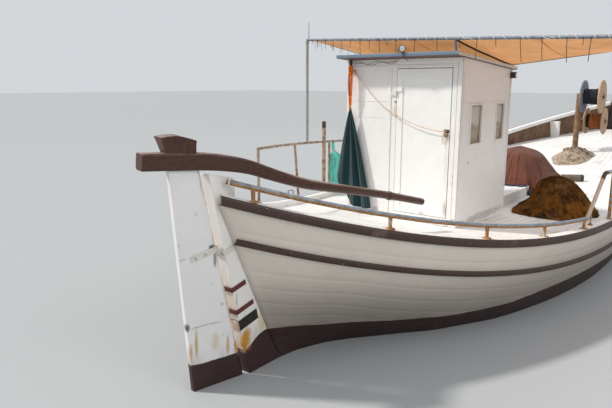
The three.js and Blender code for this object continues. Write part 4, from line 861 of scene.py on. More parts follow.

# Window glass: thin old panes, dusty with salt, puttied into the openings.
# Their upper part is painted pale as a painted reflection of the quay, and below it they show the dark brown inside.
pane, tree, shader, where = fresh_material("old_glass")
wired(tree, shader, {"Transmission Weight": 0.15, "IOR": 1.5})
dust_and_reflection_noise = speckle(tree, stretched(tree, where, (1.5, 1.5, 3)), 3.0, 3.0, 0.5, 0.3)
upward = split(tree, where)[2]
# Painted reflection: each pane is painted pale above a wavy line near its middle.
painted_reflection_share = between(tree, sloped(tree, dust_and_reflection_noise, 0.12, upward), 1.93, 1.99)
low_half = tinted(tree, between(tree, dust_and_reflection_noise, 0.4, 0.62), (0.3, 0.235, 0.14, 1), (0.44, 0.36, 0.24, 1))
wired(
    tree, shader,
    {
        "Base Color": tinted(tree, painted_reflection_share, low_half, (0.62, 0.58, 0.53, 1)),
        "Roughness": between(tree, dust_and_reflection_noise, 0.35, 0.8, 0.12, 0.35)
    }
)
for word in ("port", "starboard"):
    carried_over(f"front_pane_{word}", f"window_glass_front_{word}", 0.001, pane, "hull", "window_glass")
putty = painted("old_putty", (0.3, 0.28, 0.25, 1), shares=(0.5, 0.2, 0.2), rough=0.7)
for word, side in SIDES:
    for part, x0, x1 in SIDE_WINDOWS:
        y0, y1 = sorted((side * 0.667, side * 0.673))
        dressed(box_at(f"{word}_{part}_pane", (x0, y0, SIDE_SILL), (x1, y1, SIDE_LINTEL), 0.001), pane, "hull")
        y0, y1 = sorted((side * 0.673, side * 0.68))
        sides = [
            ((x0, y0, SIDE_SILL), (x1, y1, 1.724)), ((x0, y0, 2.096), (x1, y1, SIDE_LINTEL)),
            ((x0, y0, 1.724), (x0 + 0.014, y1, 2.096)), ((x1 - 0.014, y0, 1.724), (x1, y1, 2.096)),
        ]
        dressed(strips(f"{word}_{part}_putty", sides, 0.002), putty, "hull")

# Roof: a board with a rounded edge, aft edge and top painted grey blue, its sides white, red-brown below.
# Two thin cables hang in loops below its aft edge and end at the deck lamp.
roof_paint = painted(
    "roof_paint", (0.14, 0.2, 0.27, 1), grime=(0.3, 0.29, 0.28, 1), streak=(0.33, 0.3, 0.28, 1),
    below=(0.62, 0.6, 0.57, 1), shares=(0.5, 0.35, 0.32), rough=0.5,
)
tree, shader, where, colour = opened(roof_paint)
facing = faces_way(tree)
colour = tinted(tree, between(tree, reckon(tree, "ABSOLUTE", facing[1]), 0.5, 0.8), colour, (0.62, 0.6, 0.58, 1))
wired(
    tree, shader, {"Base Color": tinted(tree, between(tree, facing[2], -0.6, -0.9), colour, (0.13, 0.05, 0.035, 1))}
)
carried_over("roof_board", "wheelhouse_roof", 0.007, roof_paint, "hull", "roof_paint", 3)


def through(points, steps):
    made = []
    for i in range(len(points) - 1):
        a, b, c, d = (Vector(points[min(max(i + k, 0), len(points) - 1)]) for k in (-1, 0, 1, 2))
        for step in range(steps):
            t = step / steps
            made.append(
                0.5 * ((2 * b) + (c - a) * t + (2 * a - 5 * b + 4 * c - d) * t * t + (3 * b - a - 3 * c + d) * t**3)
            )
    made.append(Vector(points[-1]))
    return made


def swung(centre, up, across, radius, turn):
    return centre + up * (radius * cos(turn)) + across * (radius * sin(turn))


def tube(name, path, radius, sides=10, lay=0, pitch=0.04, swell=0.0):
    path = [Vector(p) for p in path]
    radii = radius if isinstance(radius, (list, tuple)) else [radius] * len(path)
    up = (path[1] - path[0]).orthogonal().normalized()
    rings, run = [], 0.0
    for i, here in enumerate(path):
        before, after = path[max(i - 1, 0)], path[min(i + 1, len(path) - 1)]
        ahead = (after - before).normalized()
        up = (up - ahead * up.dot(ahead)).normalized()
        across = ahead.cross(up)
        run += (here - before).length
        ring = []
        for k in range(sides):
            turn = 2 * pi * k / sides
            reach = radii[i] * (1 + swell * cos(lay * turn - 2 * pi * run / pitch) if lay else 1)
            ring.append(swung(here, up, across, reach, turn))
        rings.append(ring)
    return lofted(name, rings, 50)


def bar(name, foot, head, radius, sides):
    return tube(name, [foot, foot.lerp(head, 0.5), head], radius, sides)


black_rubber, tree, shader, where = fresh_material("old_black_rubber")
scuffs = speckle(tree, where, 40, 6, 0.7)
wired(
    tree, shader,
    {
        "Base Color": tinted(
            tree, between(tree, scuffs, 0.4, 0.75), (0.012, 0.012, 0.013, 1), (0.09, 0.085, 0.08, 1)
        ),
        "Roughness": between(tree, scuffs, 0.3, 0.8, 0.35, 0.75)
    }
)
raised(tree, shader, scuffs, 0.0006)
grey_cable, tree, shader, where = fresh_material("grey_cable")
cables = speckle(tree, where, 30, 5, 0.7)
wired(
    tree, shader,
    {"Base Color": tinted(tree, between(tree, cables, 0.35, 0.7), (0.34, 0.3, 0.25, 1), (0.12, 0.1, 0.09, 1))}
)
WIRE_RUNS = [
    [
        (-2.212, 0.68, 2.575), (-2.215, 0.6, 2.548), (-2.215, 0.5, 2.553), (-2.215, 0.37, 2.53),
        (-2.215, 0.25, 2.557), (-2.215, 0.13, 2.538), (-2.216, 0.05, 2.562)
    ],
    [
        (-2.216, 0.66, 2.58), (-2.219, 0.52, 2.565), (-2.219, 0.42, 2.54), (-2.219, 0.3, 2.568),
        (-2.219, 0.16, 2.552), (-2.219, 0.03, 2.573)
    ],
]
for number, run in enumerate(WIRE_RUNS):
    dressed(tube(f"lamp_cable_{number + 1}", through(run, 8), 0.0024, 8), grey_cable, "hull")

# Door: a framed leaf with one sunk panel, hung on two strap hinges on its port side, gloss white and rubbed.
# A rusty hasp with a brass padlock keeps it shut on the starboard side.
door_paint = painted(
    "door_paint", (0.83, 0.82, 0.80, 1), grime=(0.5, 0.45, 0.38, 1), streak=(0.5, 0.38, 0.26, 1),
    below=(0.32, 0.22, 0.14, 1), shares=(0.25, 0.25, 0.04), rough=0.38,
)
add_stains_and_shade(
    door_paint,
    [
        ((-2.2, -0.565, 1.05), (0.008, 0.05, 0.12), (0.2, 0.12, 0.07, 1), 0.5),
        ((-2.2, -0.56, 1.5), (0.012, 0.05, 0.3), (0.42, 0.28, 0.16, 1), 0.15),
        # Painted shade: a grey band along the foot of the door.
        ((-2.2, -0.3, 0.96), (0.35, 0.05, 0.03), (0.36, 0.31, 0.26, 1), 0.45),
        ((-2.2, -0.535, 1.76), (0.02, 0.05, 0.06), ORANGE_RUST, 0.25),
    ],
)
carried_over("door_leaf", "wheelhouse_door", 0.0025, door_paint, "door", "white_paint")


def metal(name, bare, rust, share, rough=0.5, metallic=0.8):
    material, tree, shader, where = fresh_material(name)
    cloud = speckle(tree, where, 14.0, 8.0, 0.7)
    fine = speckle(tree, where, 70.0, 6.0, 0.7)
    low = 0.72 - 0.45 * share
    mask = between(tree, sloped(tree, fine, 0.25, times(tree, cloud, 0.8)), low, low + 0.12)
    deep = between(tree, fine, 0.35, 0.7)
    rusty = tinted(tree, deep, rust, darker(rust, 0.35))
    plain = tinted(tree, between(tree, cloud, 0.3, 0.8), bare, darker(bare, 0.78))
    wired(
        tree, shader,
        {
            "Base Color": tinted(tree, mask, plain, rusty), "Roughness": between(tree, mask, 0.0, 1.0, rough, 0.85),
            "Metallic": between(tree, mask, 0.0, 1.0, metallic, 0.0)
        }
    )
    raised(tree, shader, sloped(tree, mask, 0.5, times(tree, fine, 0.4)), 0.0012)
    return material


white_metal = metal("white_painted_iron", (0.72, 0.69, 0.64, 1), (0.36, 0.17, 0.06, 1), 0.32, 0.5, 0.0)
dark_iron = metal("dark_rusty_iron", (0.06, 0.05, 0.045, 1), (0.2, 0.08, 0.03, 1), 0.55, 0.55, 0.3)
brass = metal("tarnished_brass", (0.36, 0.24, 0.09, 1), (0.1, 0.08, 0.035, 1), 0.5, 0.4, 0.9)
for word in ("upper", "lower"):
    carried_over(f"{word}_door_hinge", f"door_hinge_{word}", 0.0015, white_metal, "hull", "steel")
hasp_parts = [box_at("strip", (-2.2068, -0.575, 1.838), (-2.2034, -0.515, 1.872), 0.001)]
for y in (-0.568, -0.522):
    for z in (1.844, 1.866):
        hasp_parts.append(tube("strip", [(-2.2034, y, z), (-2.2084, y, z)], [0.0035, 0.0028], 8))
staple = [
    (x, -0.538, z) for x, z in ((-2.206, 1.862), (-2.218, 1.862), (-2.222, 1.852), (-2.218, 1.842), (-2.206, 1.842))
]
hasp_parts.append(tube("strip", through(staple, 5), 0.003, 8))
dressed(joined("hasp_plate", hasp_parts), dark_iron, "door", "door_hasp", slot="steel")
dressed(box_at("padlock_body", (-2.228, -0.566, 1.794), (-2.207, -0.53, 1.828), 0.004, 3), brass, "door")
shackle = [
    (-2.218, y, z) for y, z in ((-0.56, 1.826), (-0.56, 1.845), (-0.548, 1.858), (-0.536, 1.845), (-0.536, 1.826))
]
dressed(tube("padlock_shackle", through(shackle, 6), 0.0032, 10), dark_iron, "door")

# Rope that ties the door: three strands, sun-bleached, a knot half-way and a short frayed tail at the hasp.
# It hangs in a bow from the aft wall's port side and bends where it passes from the wall to the door.
TIE_ROPE = [
    (-2.222, 0.588, 2.462), (-2.226, 0.56, 2.44), (-2.23, 0.48, 2.352), (-2.231, 0.38, 2.248), (-2.231, 0.27, 2.148),
    (-2.231, 0.15, 2.062), (-2.231, 0.016, 1.99), (-2.231, -0.12, 1.935), (-2.231, -0.26, 1.892),
    (-2.23, -0.39, 1.864), (-2.227, -0.48, 1.853), (-2.223, -0.5397, 1.852),
]


def rope_finish(name, pale, dark, share=0.5):
    material, tree, shader, where = fresh_material(name)
    fibre = speckle(tree, stretched(tree, where, (60, 60, 25)), 6.0, 6.0, 0.7)
    cloud = speckle(tree, where, 7.0, 4.0, 0.6)
    mix = sloped(tree, fibre, 0.6, times(tree, cloud, 0.5))
    low = 0.75 - 0.5 * share
    wired(
        tree, shader,
        {
            "Base Color": tinted(tree, between(tree, mix, low, low + 0.35), pale, dark), "Roughness": 0.85,
            "Specular IOR Level": 0.2
        }
    )
    raised(tree, shader, fibre, 0.001)
    return material


bleached = rope_finish("bleached_rope", (0.64, 0.46, 0.35, 1), (0.26, 0.14, 0.09, 1), 0.5)
tie_path = through(TIE_ROPE, 12)
tie_rope = tube("door_rope", tie_path, 0.0042, 12, 3, 0.03, 0.13)
tie_rope.data.materials.append(bleached)
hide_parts("door_tie_rope")


def knot(name, centre, radius, thick, seed):
    dice = random.Random(seed)
    loops = []
    for k in range(3):
        tilt = Matrix.Rotation(
            dice.uniform(0, pi), 3,
            Vector((dice.uniform(-1, 1), dice.uniform(-1, 1), dice.uniform(-1, 1))).normalized()
        )
        ring = [
            Vector(centre) + tilt @ Vector((radius * cos(t), radius * sin(t), thick * 0.5 * sin(2 * t)))
            for t in [2 * pi * i / 24 for i in range(24)]
        ]
        loops.append(tube("loop", ring, thick, 8))
    return joined(name, loops)


middle_knot = knot("door_rope_knot", (-2.2315, 0.03, 1.997), 0.008, 0.0042, 4)
middle_knot.data.materials.append(bleached)
end_knot = dressed(knot("door_rope_end_knot", (-2.2225, -0.5397, 1.852), 0.007, 0.004, 5), bleached, "door")
tail = through([(-2.224, -0.528, 1.846), (-2.229, -0.518, 1.81), (-2.226, -0.512, 1.76), (-2.228, -0.514, 1.715)], 8)
tail_piece = dressed(
    tube("door_rope_tail", tail, [0.0034] * (len(tail) - 4) + [0.003, 0.0026, 0.002, 0.0012], 8, 3, 0.03, 0.12),
    bleached, "door"
)
for moved in (tie_rope, middle_knot):
    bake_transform(moved)

# Deck lamp: a small black work lamp with a pale lens ring on a bent strap bracket, on the roof's aft edge.
# Side lamp: a black plastic navigation lamp case screwed to the starboard wall.
lamp_low, lamp_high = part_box("deck_lamp")
lamp_mid = (lamp_low + lamp_high) / 2


def turned(name, profile, origin, axis, sides=32, sharp=35):
    axis = Vector(axis).normalized()
    up = axis.orthogonal().normalized()
    across = axis.cross(up)
    rings = []
    for radius, run in profile:
        centre = Vector(origin) + axis * run
        rings.append([swung(centre, up, across, radius, 2 * pi * k / sides) for k in range(sides)])
    return lofted(name, rings, sharp)


case_profile = [
    (0.008, 0.062), (0.018, 0.057), (0.027, 0.044), (0.032, 0.021), (0.0345, 0.007), (0.0355, 0.0), (0.0325, 0.0),
    (0.031, 0.003)
]
lamp_back = Vector((0.6, 0.8, 0.0))
lamp_face = lamp_mid - lamp_back * 0.031
lamp_case = turned("deck_lamp_case", case_profile, lamp_face, lamp_back)
dressed(lamp_case, black_rubber, "hull", "deck_lamp", slot="black_plastic")
lens, tree, shader, where = fresh_material("lamp_lens")
ribs = put(tree, "TexWave", {"Vector": where, "Scale": 60.0, "Distortion": 0.4}, bands_direction="Y").outputs[0]
wired(tree, shader, {"Base Color": tinted(tree, ribs, (0.8, 0.8, 0.78, 1), (0.5, 0.52, 0.54, 1)), "Roughness": 0.12})
raised(tree, shader, ribs, 0.001)
lens_profile = [(0.0315, 0.004), (0.026, 0.0), (0.014, -0.004), (0.002, -0.005)]
dressed(turned("deck_lamp_lens", lens_profile, lamp_face, lamp_back), lens, "hull")
beside_lamp = Vector((-lamp_back.y, lamp_back.x, 0))
bracket = [
    lamp_mid + beside_lamp * (s * 0.037) + Vector((0, 0, rise))
    for s, rise in ((-1, 0), (-1, -0.036), (1, -0.036), (1, 0))
]
dressed(tube("deck_lamp_bracket", through(bracket, 5), 0.003, 8), dark_iron, "hull")
cable = through(
    [
        (lamp_high.x - 0.004, lamp_mid.y, lamp_mid.z), (-2.4, lamp_mid.y - 0.03, lamp_low.z + 0.01),
        (-2.396, lamp_mid.y - 0.03, 2.6), (-2.37, lamp_mid.y - 0.03, 2.585), (-2.24, lamp_mid.y + 0.01, 2.572),
        (-2.214, lamp_mid.y + 0.02, 2.566)
    ],
    8
)
dressed(tube("deck_lamp_cable", cable, 0.0032, 8), black_rubber, "hull")
carried_over("side_lamp_case", "side_lamp", 0.009, black_rubber, "hull", "black_plastic", 3)
dressed(box_at("side_lamp_lens", (-0.897, -0.7545, 2.405), (-0.853, -0.7525, 2.455), 0.0008), lens, "hull")

# Rudder: thick planks edge-bolted and painted, hung outboard on the raked sternpost.
# The paint has worn off beside the pins, rust runs down from the bolts, and the foot carries bottom paint.
RUDDER_RAKE = math.atan(RUDDER_SLOPE)
RUDDER_REST = math.radians(-13)
post_place = Matrix.Translation((RUDDER_FOOT_X, 0, 0)) @ Matrix.Rotation(-RUDDER_RAKE, 4, "Y")
rudder_place = post_place @ Matrix.Rotation(RUDDER_REST, 4, "Z")
blade_paint = hull_finish("rudder_paint", (0.76, 0.745, 0.735, 1), (0.35, 0.3, 0.07), 0.3)
beside_axis(blade_paint, -0.05, -0.024, PALE_WOOD, 0.7)
beside_axis(blade_paint, -0.032, -0.012, ORANGE_RUST, 0.7, (9, 9, 2.5))
add_stains_and_shade(
    blade_paint,
    [
        ((-5.078, 0.002, 1.415), (0.013, 0.04, 0.013), DARK_RUST, 1.0),
        ((-4.95, -0.01, 1.14), (0.05, 0.04, 0.045), (0.03, 0.07, 0.06, 1), 1.0),
        ((-4.925, -0.01, 1.05), (0.02, 0.04, 0.09), (0.16, 0.15, 0.13, 1), 0.8),
        ((-5.155, 0.063, 0.545), (0.03, 0.06, 0.045), DARK_RUST, 0.9),
        ((-5.03, 0.035, 0.532), (0.16, 0.06, 0.006), DARK_RUST, 0.75),
        ((-4.91, 0.01, 0.522), (0.1, 0.06, 0.006), (0.4, 0.33, 0.25, 1), 0.6),
        ((-5.08, 0.052, 0.41), (0.016, 0.06, 0.16), (0.5, 0.32, 0.1, 1), 0.85),
        ((-5.125, 0.06, 0.33), (0.02, 0.06, 0.09), (0.5, 0.27, 0.06, 1), 0.7),
        ((-4.92, 0.02, 0.36), (0.05, 0.06, 0.1), (0.62, 0.5, 0.3, 1), 0.6),
        ((-4.81, 0.0, 0.32), (0.02, 0.06, 0.12), (0.5, 0.3, 0.1, 1), 0.7),
        ((-4.73, -0.02, 0.27), (0.03, 0.05, 0.09), YELLOW_RUST, 0.9),
        ((-4.864, -0.008, 0.668), (0.016, 0.04, 0.016), (0.45, 0.42, 0.3, 1), 0.8),
        ((-5.2, 0.03, 1.09), (0.05, 0.05, 0.02), (0.55, 0.5, 0.4, 1), 0.6),
    ],
)
carried_over("rudder_planks", "rudder_blade", 0.004, blade_paint, "rudder", "white_paint")
bolts = []
BOLT_HEAD = [(0.011, -0.001), (0.0105, 0.0022), (0.007, 0.004), (0.001, 0.0045)]
for chord, z in ((0.12, 1.476), (0.3, 1.3), (0.12, 0.9), (0.34, 0.62), (0.12, 0.45)):
    for face in (-1, 1):
        place = rudder_place @ Vector((-chord, face * 0.0252, z))
        outward = (rudder_place.to_3x3() @ Vector((0, face, 0))).normalized()
        bolts.append(turned("bolt", BOLT_HEAD, place, outward, 12))
dressed(joined("rudder_bolts", bolts), white_metal, "rudder")

# Tiller: one grown timber, squared at the rudder head and rounded towards the hand, with a turned collar.
# The head block is a cambered cap pinned over it. Both are brown and cracked on top, with a painted highlight making
# their top faces paler.
TILLER = [
    (-5.468, 1.824, 0.108, 0.12), (-5.03, 1.792, 0.11, 0.122), (-4.8, 1.757, 0.106, 0.116),
    (-4.62, 1.712, 0.1, 0.108), (-4.44, 1.645, 0.094, 0.1), (-4.17, 1.552, 0.088, 0.092), (-3.98, 1.5, 0.084, 0.086),
    (-3.61, 1.42, 0.078, 0.078), (-3.12, 1.31, 0.072, 0.072), (-2.615, 1.181, 0.068, 0.068),
]


def in_rudder(x, z):
    ahead = x - RUDDER_FOOT_X
    forward = (ahead * cos(RUDDER_RAKE) + z * sin(RUDDER_RAKE)) / cos(RUDDER_REST)
    return Vector((forward, 0, z * cos(RUDDER_RAKE) - ahead * sin(RUDDER_RAKE)))


def tiller_rings():
    rows = through(TILLER, 10)
    centres = [in_rudder(row[0], row[1]) for row in rows]
    rings = []
    for i, (x, z, width, height) in enumerate(rows):
        before, after = centres[max(i - 1, 0)], centres[min(i + 1, len(rows) - 1)]
        ahead = (after - before).normalized()
        up = Vector((-ahead.z, 0, ahead.x))
        squareness = min(max((x + 4.95) / 0.75, 0), 1)
        power = 9 - 7 * squareness
        scales = [(0.0, 1.0)]
        if i == 0:
            scales = [(0.0, 0.94), (0.005, 1.0)]
        elif i == len(rows) - 1:
            scales = [(-0.008, 1.0), (-0.002, 0.93), (0.0, 0.8)]
        for shift, scale in scales:
            ring = []
            for k in range(32):
                turn = 2 * pi * (k + 0.5) / 32
                c, s = cos(turn), sin(turn)
                reach = (abs(c) ** power + abs(s) ** power) ** (-1 / power) * scale
                dent = 1 + 0.012 * lump(x * 4, c * 2, s * 2)
                aside = Vector((0, width / 2 * reach * c * dent, 0))
                local = centres[i] + ahead * shift + up * (height / 2 * reach * s * dent) + aside
                ring.append(rudder_place @ local)
            rings.append(ring)
    return rings


def varnished(name, dark, light, direction, shares=(0.35, 0.12), rough=0.36):
    material, tree, shader, where = fresh_material(name)
    grain = speckle(tree, stretched(tree, where, direction), 5.0, 8.0, 0.65, 0.3)
    cloud = speckle(tree, where, 2.2, 6.0, 0.6)
    wood = tinted(tree, between(tree, grain, 0.3, 0.75), dark, light)
    facing = faces_way(tree)[2]
    # Painted highlight: faces turned up are painted paler, where the sun falls on them.
    pale_top_highlight = times(
        tree, between(tree, facing, 0.45, 0.95),
        between(tree, sloped(tree, grain, 0.5, times(tree, cloud, 0.5)), 0.36, 0.62)
    )
    wood = tinted(tree, times(tree, pale_top_highlight, shares[0]), wood, (0.46, 0.34, 0.31, 1))
    cracks = between(
        tree, speckle(tree, stretched(tree, where, tuple(d * 2.2 for d in direction)), 4.0, 3.0, 0.5), 0.7, 0.75
    )
    wood = tinted(tree, cracks, wood, (0.02, 0.01, 0.008, 1))
    wired(
        tree, shader,
        {
            "Base Color": wood, "Roughness": sloped(tree, pale_top_highlight, 0.3, sloped(tree, grain, 0.15, rough - 0.08)),
            "Specular IOR Level": 0.4
        }
    )
    raised(tree, shader, sloped(tree, cracks, -0.6, grain), 0.0016)
    return material


tiller_wood = varnished("tiller_wood", (0.045, 0.016, 0.009, 1), (0.085, 0.032, 0.018, 1), (0.7, 16, 16), (0.85, 0.1))
dressed(lofted("tiller_bar", tiller_rings(), 30), tiller_wood, "rudder", "tiller", slot="brown_varnish")
collar_mid = in_rudder(-3.09, 1.302)
collar_ahead = (in_rudder(-3.0, 1.283) - in_rudder(-3.3, 1.352)).normalized()
collar_profile = [
    (0.03, -0.02), (0.04, -0.018), (0.0425, -0.012), (0.041, -0.004), (0.0435, 0.004), (0.042, 0.013), (0.038, 0.019),
    (0.03, 0.021)
]
collar = turned("tiller_collar", collar_profile, rudder_place @ collar_mid, rudder_place.to_3x3() @ collar_ahead, 32)
dressed(collar, tiller_wood, "rudder")

head_wood = varnished("head_block_wood", (0.05, 0.016, 0.01, 1), (0.1, 0.036, 0.022, 1), (9, 9, 1.2), (0.7, 0.1))


def tiller_top(forward):
    places = [in_rudder(row[0], row[1]) for row in TILLER[:5]]
    return float(np.interp(forward, [p.x for p in places], [p.z + row[3] / 2 for p, row in zip(places, TILLER)]))


head_rings = []
HEAD_COLUMNS = 14
for rise, half, flare in (
    (-0.006, 0.0355, 0.0), (0.0, 0.036, 0.0), (0.036, 0.04, 0.004), (0.072, 0.0435, 0.008), (0.1, 0.05, 0.011),
    (0.118, 0.0555, 0.0138), (0.1225, 0.056, 0.014), (0.1265, 0.0545, 0.0125), (0.128, 0.051, 0.009)
):
    low, high = -0.246 - flare, -0.022 + flare
    ring = []
    for side in (-1, 1):
        for k in range(HEAD_COLUMNS + 1):
            share = k / HEAD_COLUMNS if side < 0 else 1 - k / HEAD_COLUMNS
            forward = low + (high - low) * share
            camber = 0.022 * (1 - abs(2 * share - 1) ** 1.4) * max(0, rise) / 0.128
            lower = 0.016 * share * max(0, rise) / 0.128
            local = Vector((forward, side * half, tiller_top(forward) - 0.012 + rise + camber - lower))
            ring.append(rudder_place @ local)
    head_rings.append(ring)
dressed(lofted("head_block", head_rings, 40), head_wood, "rudder", "rudder_head_block", slot="brown_paint")

# Rudder irons: forged straps round the post and the blade, bolted through, painted over in white.
# Two narrow straps below are dark red, the wide lowest one is tarred black.
for word in ("upper", "lower"):
    iron_paint = white_metal if word == "upper" else under_paint
    carried_over(f"{word}_rudder_eye", f"gudgeon_{word}", 0.0015, iron_paint, "hull", "white_paint", 1)
    carried_over(f"{word}_rudder_pin", f"pintle_{word}", 0.0015, iron_paint, "rudder", "white_paint", 1)
red_iron = metal("red_painted_iron", (0.115, 0.02, 0.018, 1), (0.14, 0.045, 0.02, 1), 0.4, 0.5, 0.0)
tarred_iron = metal("tarred_iron", (0.014, 0.011, 0.01, 1), (0.08, 0.03, 0.012, 1), 0.3, 0.5, 0.0)
for word, finish in (("upper", red_iron), ("middle", red_iron), ("lower", tarred_iron)):
    strap = carried_over(f"{word}_iron_strap", f"post_strap_{word}", 0.0018, finish, "hull", "rusty_red_metal")
    if word == "lower":
        strap.data.materials.append(post_paint)
        for face in strap.data.polygons:
            face.material_index = int(face.normal.x < -0.6)
nail_rows = []
NAIL_HEAD = [(0.0065, -0.0008), (0.006, 0.0016), (0.003, 0.003), (0.0006, 0.0032)]
for z, height, reach in ((0.745, 0.04, 0.165), (0.548, 0.04, 0.205), (0.405, 0.088, 0.222)):
    for share in (0.3, 0.62, 0.92):
        level = (z + height / 2) / cos(RUDDER_RAKE)
        for face in (-1, 1):
            place = post_place @ Vector((reach * share, face * 0.0562, level))
            nail_rows.append(turned("nail", NAIL_HEAD, place, (0, face, 0), 10))
dressed(joined("strap_nails", nail_rows), dark_iron, "hull")

# Propeller: three cast bronze blades on a hub with its shaft, browned and salted under water.
# Engine: one closed block low in the hull, painted grey and oily.
bronze = metal("wet_bronze", (0.3, 0.2, 0.1, 1), (0.1, 0.12, 0.09, 1), 0.5, 0.45, 0.85)
hub_profile = [
    (0.002, 0.0), (0.02, 0.004), (0.03, 0.016), (0.042, 0.04), (0.046, 0.08), (0.043, 0.104), (0.04, 0.12),
    (0.021, 0.12)
]
parts = [turned("hub", hub_profile, (-4.31, 0, -0.46), (1, 0, 0), 32)]
PROPELLER_AT = (-4.25, 0, -0.46)
BLADE_ROWS = [
    (0.03, 0.06, 58), (0.06, 0.09, 51), (0.09, 0.118, 44), (0.12, 0.13, 39), (0.15, 0.136, 34), (0.18, 0.118, 30.5),
    (0.2, 0.096, 28), (0.212, 0.066, 26), (0.219, 0.034, 25)
]
for blade in range(3):
    turn = Matrix.Rotation(2 * pi * blade / 3, 3, "X")
    rings = []
    for radius, chord, pitch in BLADE_ROWS:
        lean = math.radians(pitch)
        thick = 0.009 - 0.005 * radius / 0.22
        ring = []
        for k in range(16):
            angle = 2 * pi * k / 16
            run, off = chord / 2 * cos(angle), thick * sin(angle) * (1 - 0.5 * abs(cos(angle)) ** 3)
            ring.append(
                turn @ Vector((run * sin(lean) + off * cos(lean), run * cos(lean) - off * sin(lean), radius))
                + Vector(PROPELLER_AT)
            )
        rings.append(ring)
    parts.append(lofted("blade", rings, 40))
dressed(joined("propeller_casting", parts), bronze, "propeller_and_shaft", "propeller", slot="bronze")
shaft = turned(
    "shaft", [(0.012, 0.0003), (0.0196, 0.004), (0.0196, 0.595), (0.012, 0.599)], PROPELLER_AT, (1, 0, 0), 24
)
dressed(shaft, bronze, "propeller_and_shaft", "propeller_shaft", slot="steel")
engine_paint = painted(
    "engine_paint", (0.1, 0.11, 0.11, 1), grime=(0.03, 0.025, 0.02, 1), shares=(0.8, 0.3, 0.2), rough=0.5
)
carried_over("engine_casing", "engine_block", 0.03, engine_paint, "hull", "black_plastic", 4)

# Hatch: a coaming of planks round the hold with a cover of boards laid fore and aft, all painted white.
# The boards are worn grey along their edges.
hatch_low, hatch_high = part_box("foredeck_hatch")
hatch_paint = painted(
    "hatch_paint", (0.74, 0.73, 0.71, 1), grime=(0.4, 0.36, 0.3, 1), below=(0.3, 0.24, 0.19, 1),
    shares=(0.55, 0.2, 0.3), rough=0.6
)
boards = [((hatch_low.x, hatch_low.y, hatch_low.z), (hatch_high.x, hatch_high.y, 0.872))]
for k in range(8):
    y0 = hatch_low.y + (hatch_high.y - hatch_low.y) * k / 8
    y1 = hatch_low.y + (hatch_high.y - hatch_low.y) * (k + 1) / 8
    boards.append((
        (hatch_low.x + 0.002, y0 + 0.002, 0.874), (hatch_high.x - 0.002, y1 - 0.002, hatch_high.z - 0.0015 * (k % 3))
    ))
dressed(strips("hatch_boards", boards, 0.004), hatch_paint, "hull", "foredeck_hatch", slot="white_paint")

# Handrails: welded steel tube. The starboard rail lies low on short stubs and climbs to knee height forward.
# Its top faces are grey blue, partly its grey coat and partly a painted reflection of the sky, the faces turned down
# show rust, and each foot is a small flange that bleeds rust.
rail_coat_and_sky_reflection, tree, shader, where = fresh_material("low_rail_coat_and_sky_reflection")
facing = faces_way(tree)[2]
along_x = split(tree, where)[0]
cloud = speckle(tree, where, 16.0, 8.0, 0.7)
fine = speckle(tree, where, 60.0, 6.0, 0.7)
# Painted reflection: faces turned up keep the grey blue, which stands partly for the sky's reflection; faces turned
# down show rust.
turned_down_faces = between(tree, plus(tree, facing, sloped(tree, cloud, 1.3, -0.65)), 0.25, -0.1)
flakes = between(tree, sloped(tree, fine, 0.5, times(tree, cloud, 0.5)), 0.6, 0.64)
coat = tinted(tree, between(tree, along_x, -0.8, -0.7), (0.155, 0.2, 0.27, 1), (0.4, 0.44, 0.5, 1))
coat = tinted(tree, between(tree, along_x, -3.9, -4.6), coat, (0.16, 0.135, 0.13, 1))
upright = times(tree, between(tree, along_x, -1.22, -1.18), between(tree, along_x, -0.79, -0.83))
coat = tinted(tree, between(tree, cloud, 0.35, 0.7), coat, (0.30, 0.33, 0.36, 1))
rust = tinted(tree, between(tree, fine, 0.35, 0.68), (0.5, 0.27, 0.09, 1), (0.16, 0.065, 0.022, 1))
coat = tinted(tree, upright, coat, (0.52, 0.42, 0.33, 1))
rust_shows = reckon(tree, "MAXIMUM", turned_down_faces, flakes)
wired(
    tree, shader, {"Base Color": tinted(tree, rust_shows, coat, rust), "Roughness": between(tree, rust_shows, 0, 1, 0.38, 0.82)}
)
raised(tree, shader, sloped(tree, rust_shows, -0.5, fine), 0.0012)
rusty_pipe = metal("rusty_pipe", (0.36, 0.29, 0.22, 1), (0.27, 0.14, 0.065, 1), 0.5, 0.5, 0.0)
rail_iron = metal("rail_foot_iron", (0.5, 0.42, 0.33, 1), (0.46, 0.22, 0.06, 1), 0.68, 0.5, 0.0)


def rail_line(heights, side, count=90):
    xs = np.linspace(heights[0][0], heights[-1][0], count)
    return [rail_point(float(x), along(heights, float(x)), side) for x in xs]


def flange(place, radius=0.034):
    plate = turned(
        "flange",
        [(radius, 0.0), (radius, 0.004), (radius - 0.002, 0.006), (0.02, 0.0068), (0.0185, 0.012), (0.016, 0.016)],
        place, (0, 0, 1), 20
    )
    heads = []
    for k in range(3):
        turn = 2 * pi * k / 3 + 0.4
        spot = Vector(place) + Vector((0.025 * cos(turn), 0.025 * sin(turn), 0.005))
        heads.append(turned("screw", [(0.0045, 0), (0.0042, 0.003), (0.001, 0.0038)], spot, (0, 0, 1), 8))
    return joined("flange", [plate] + heads)


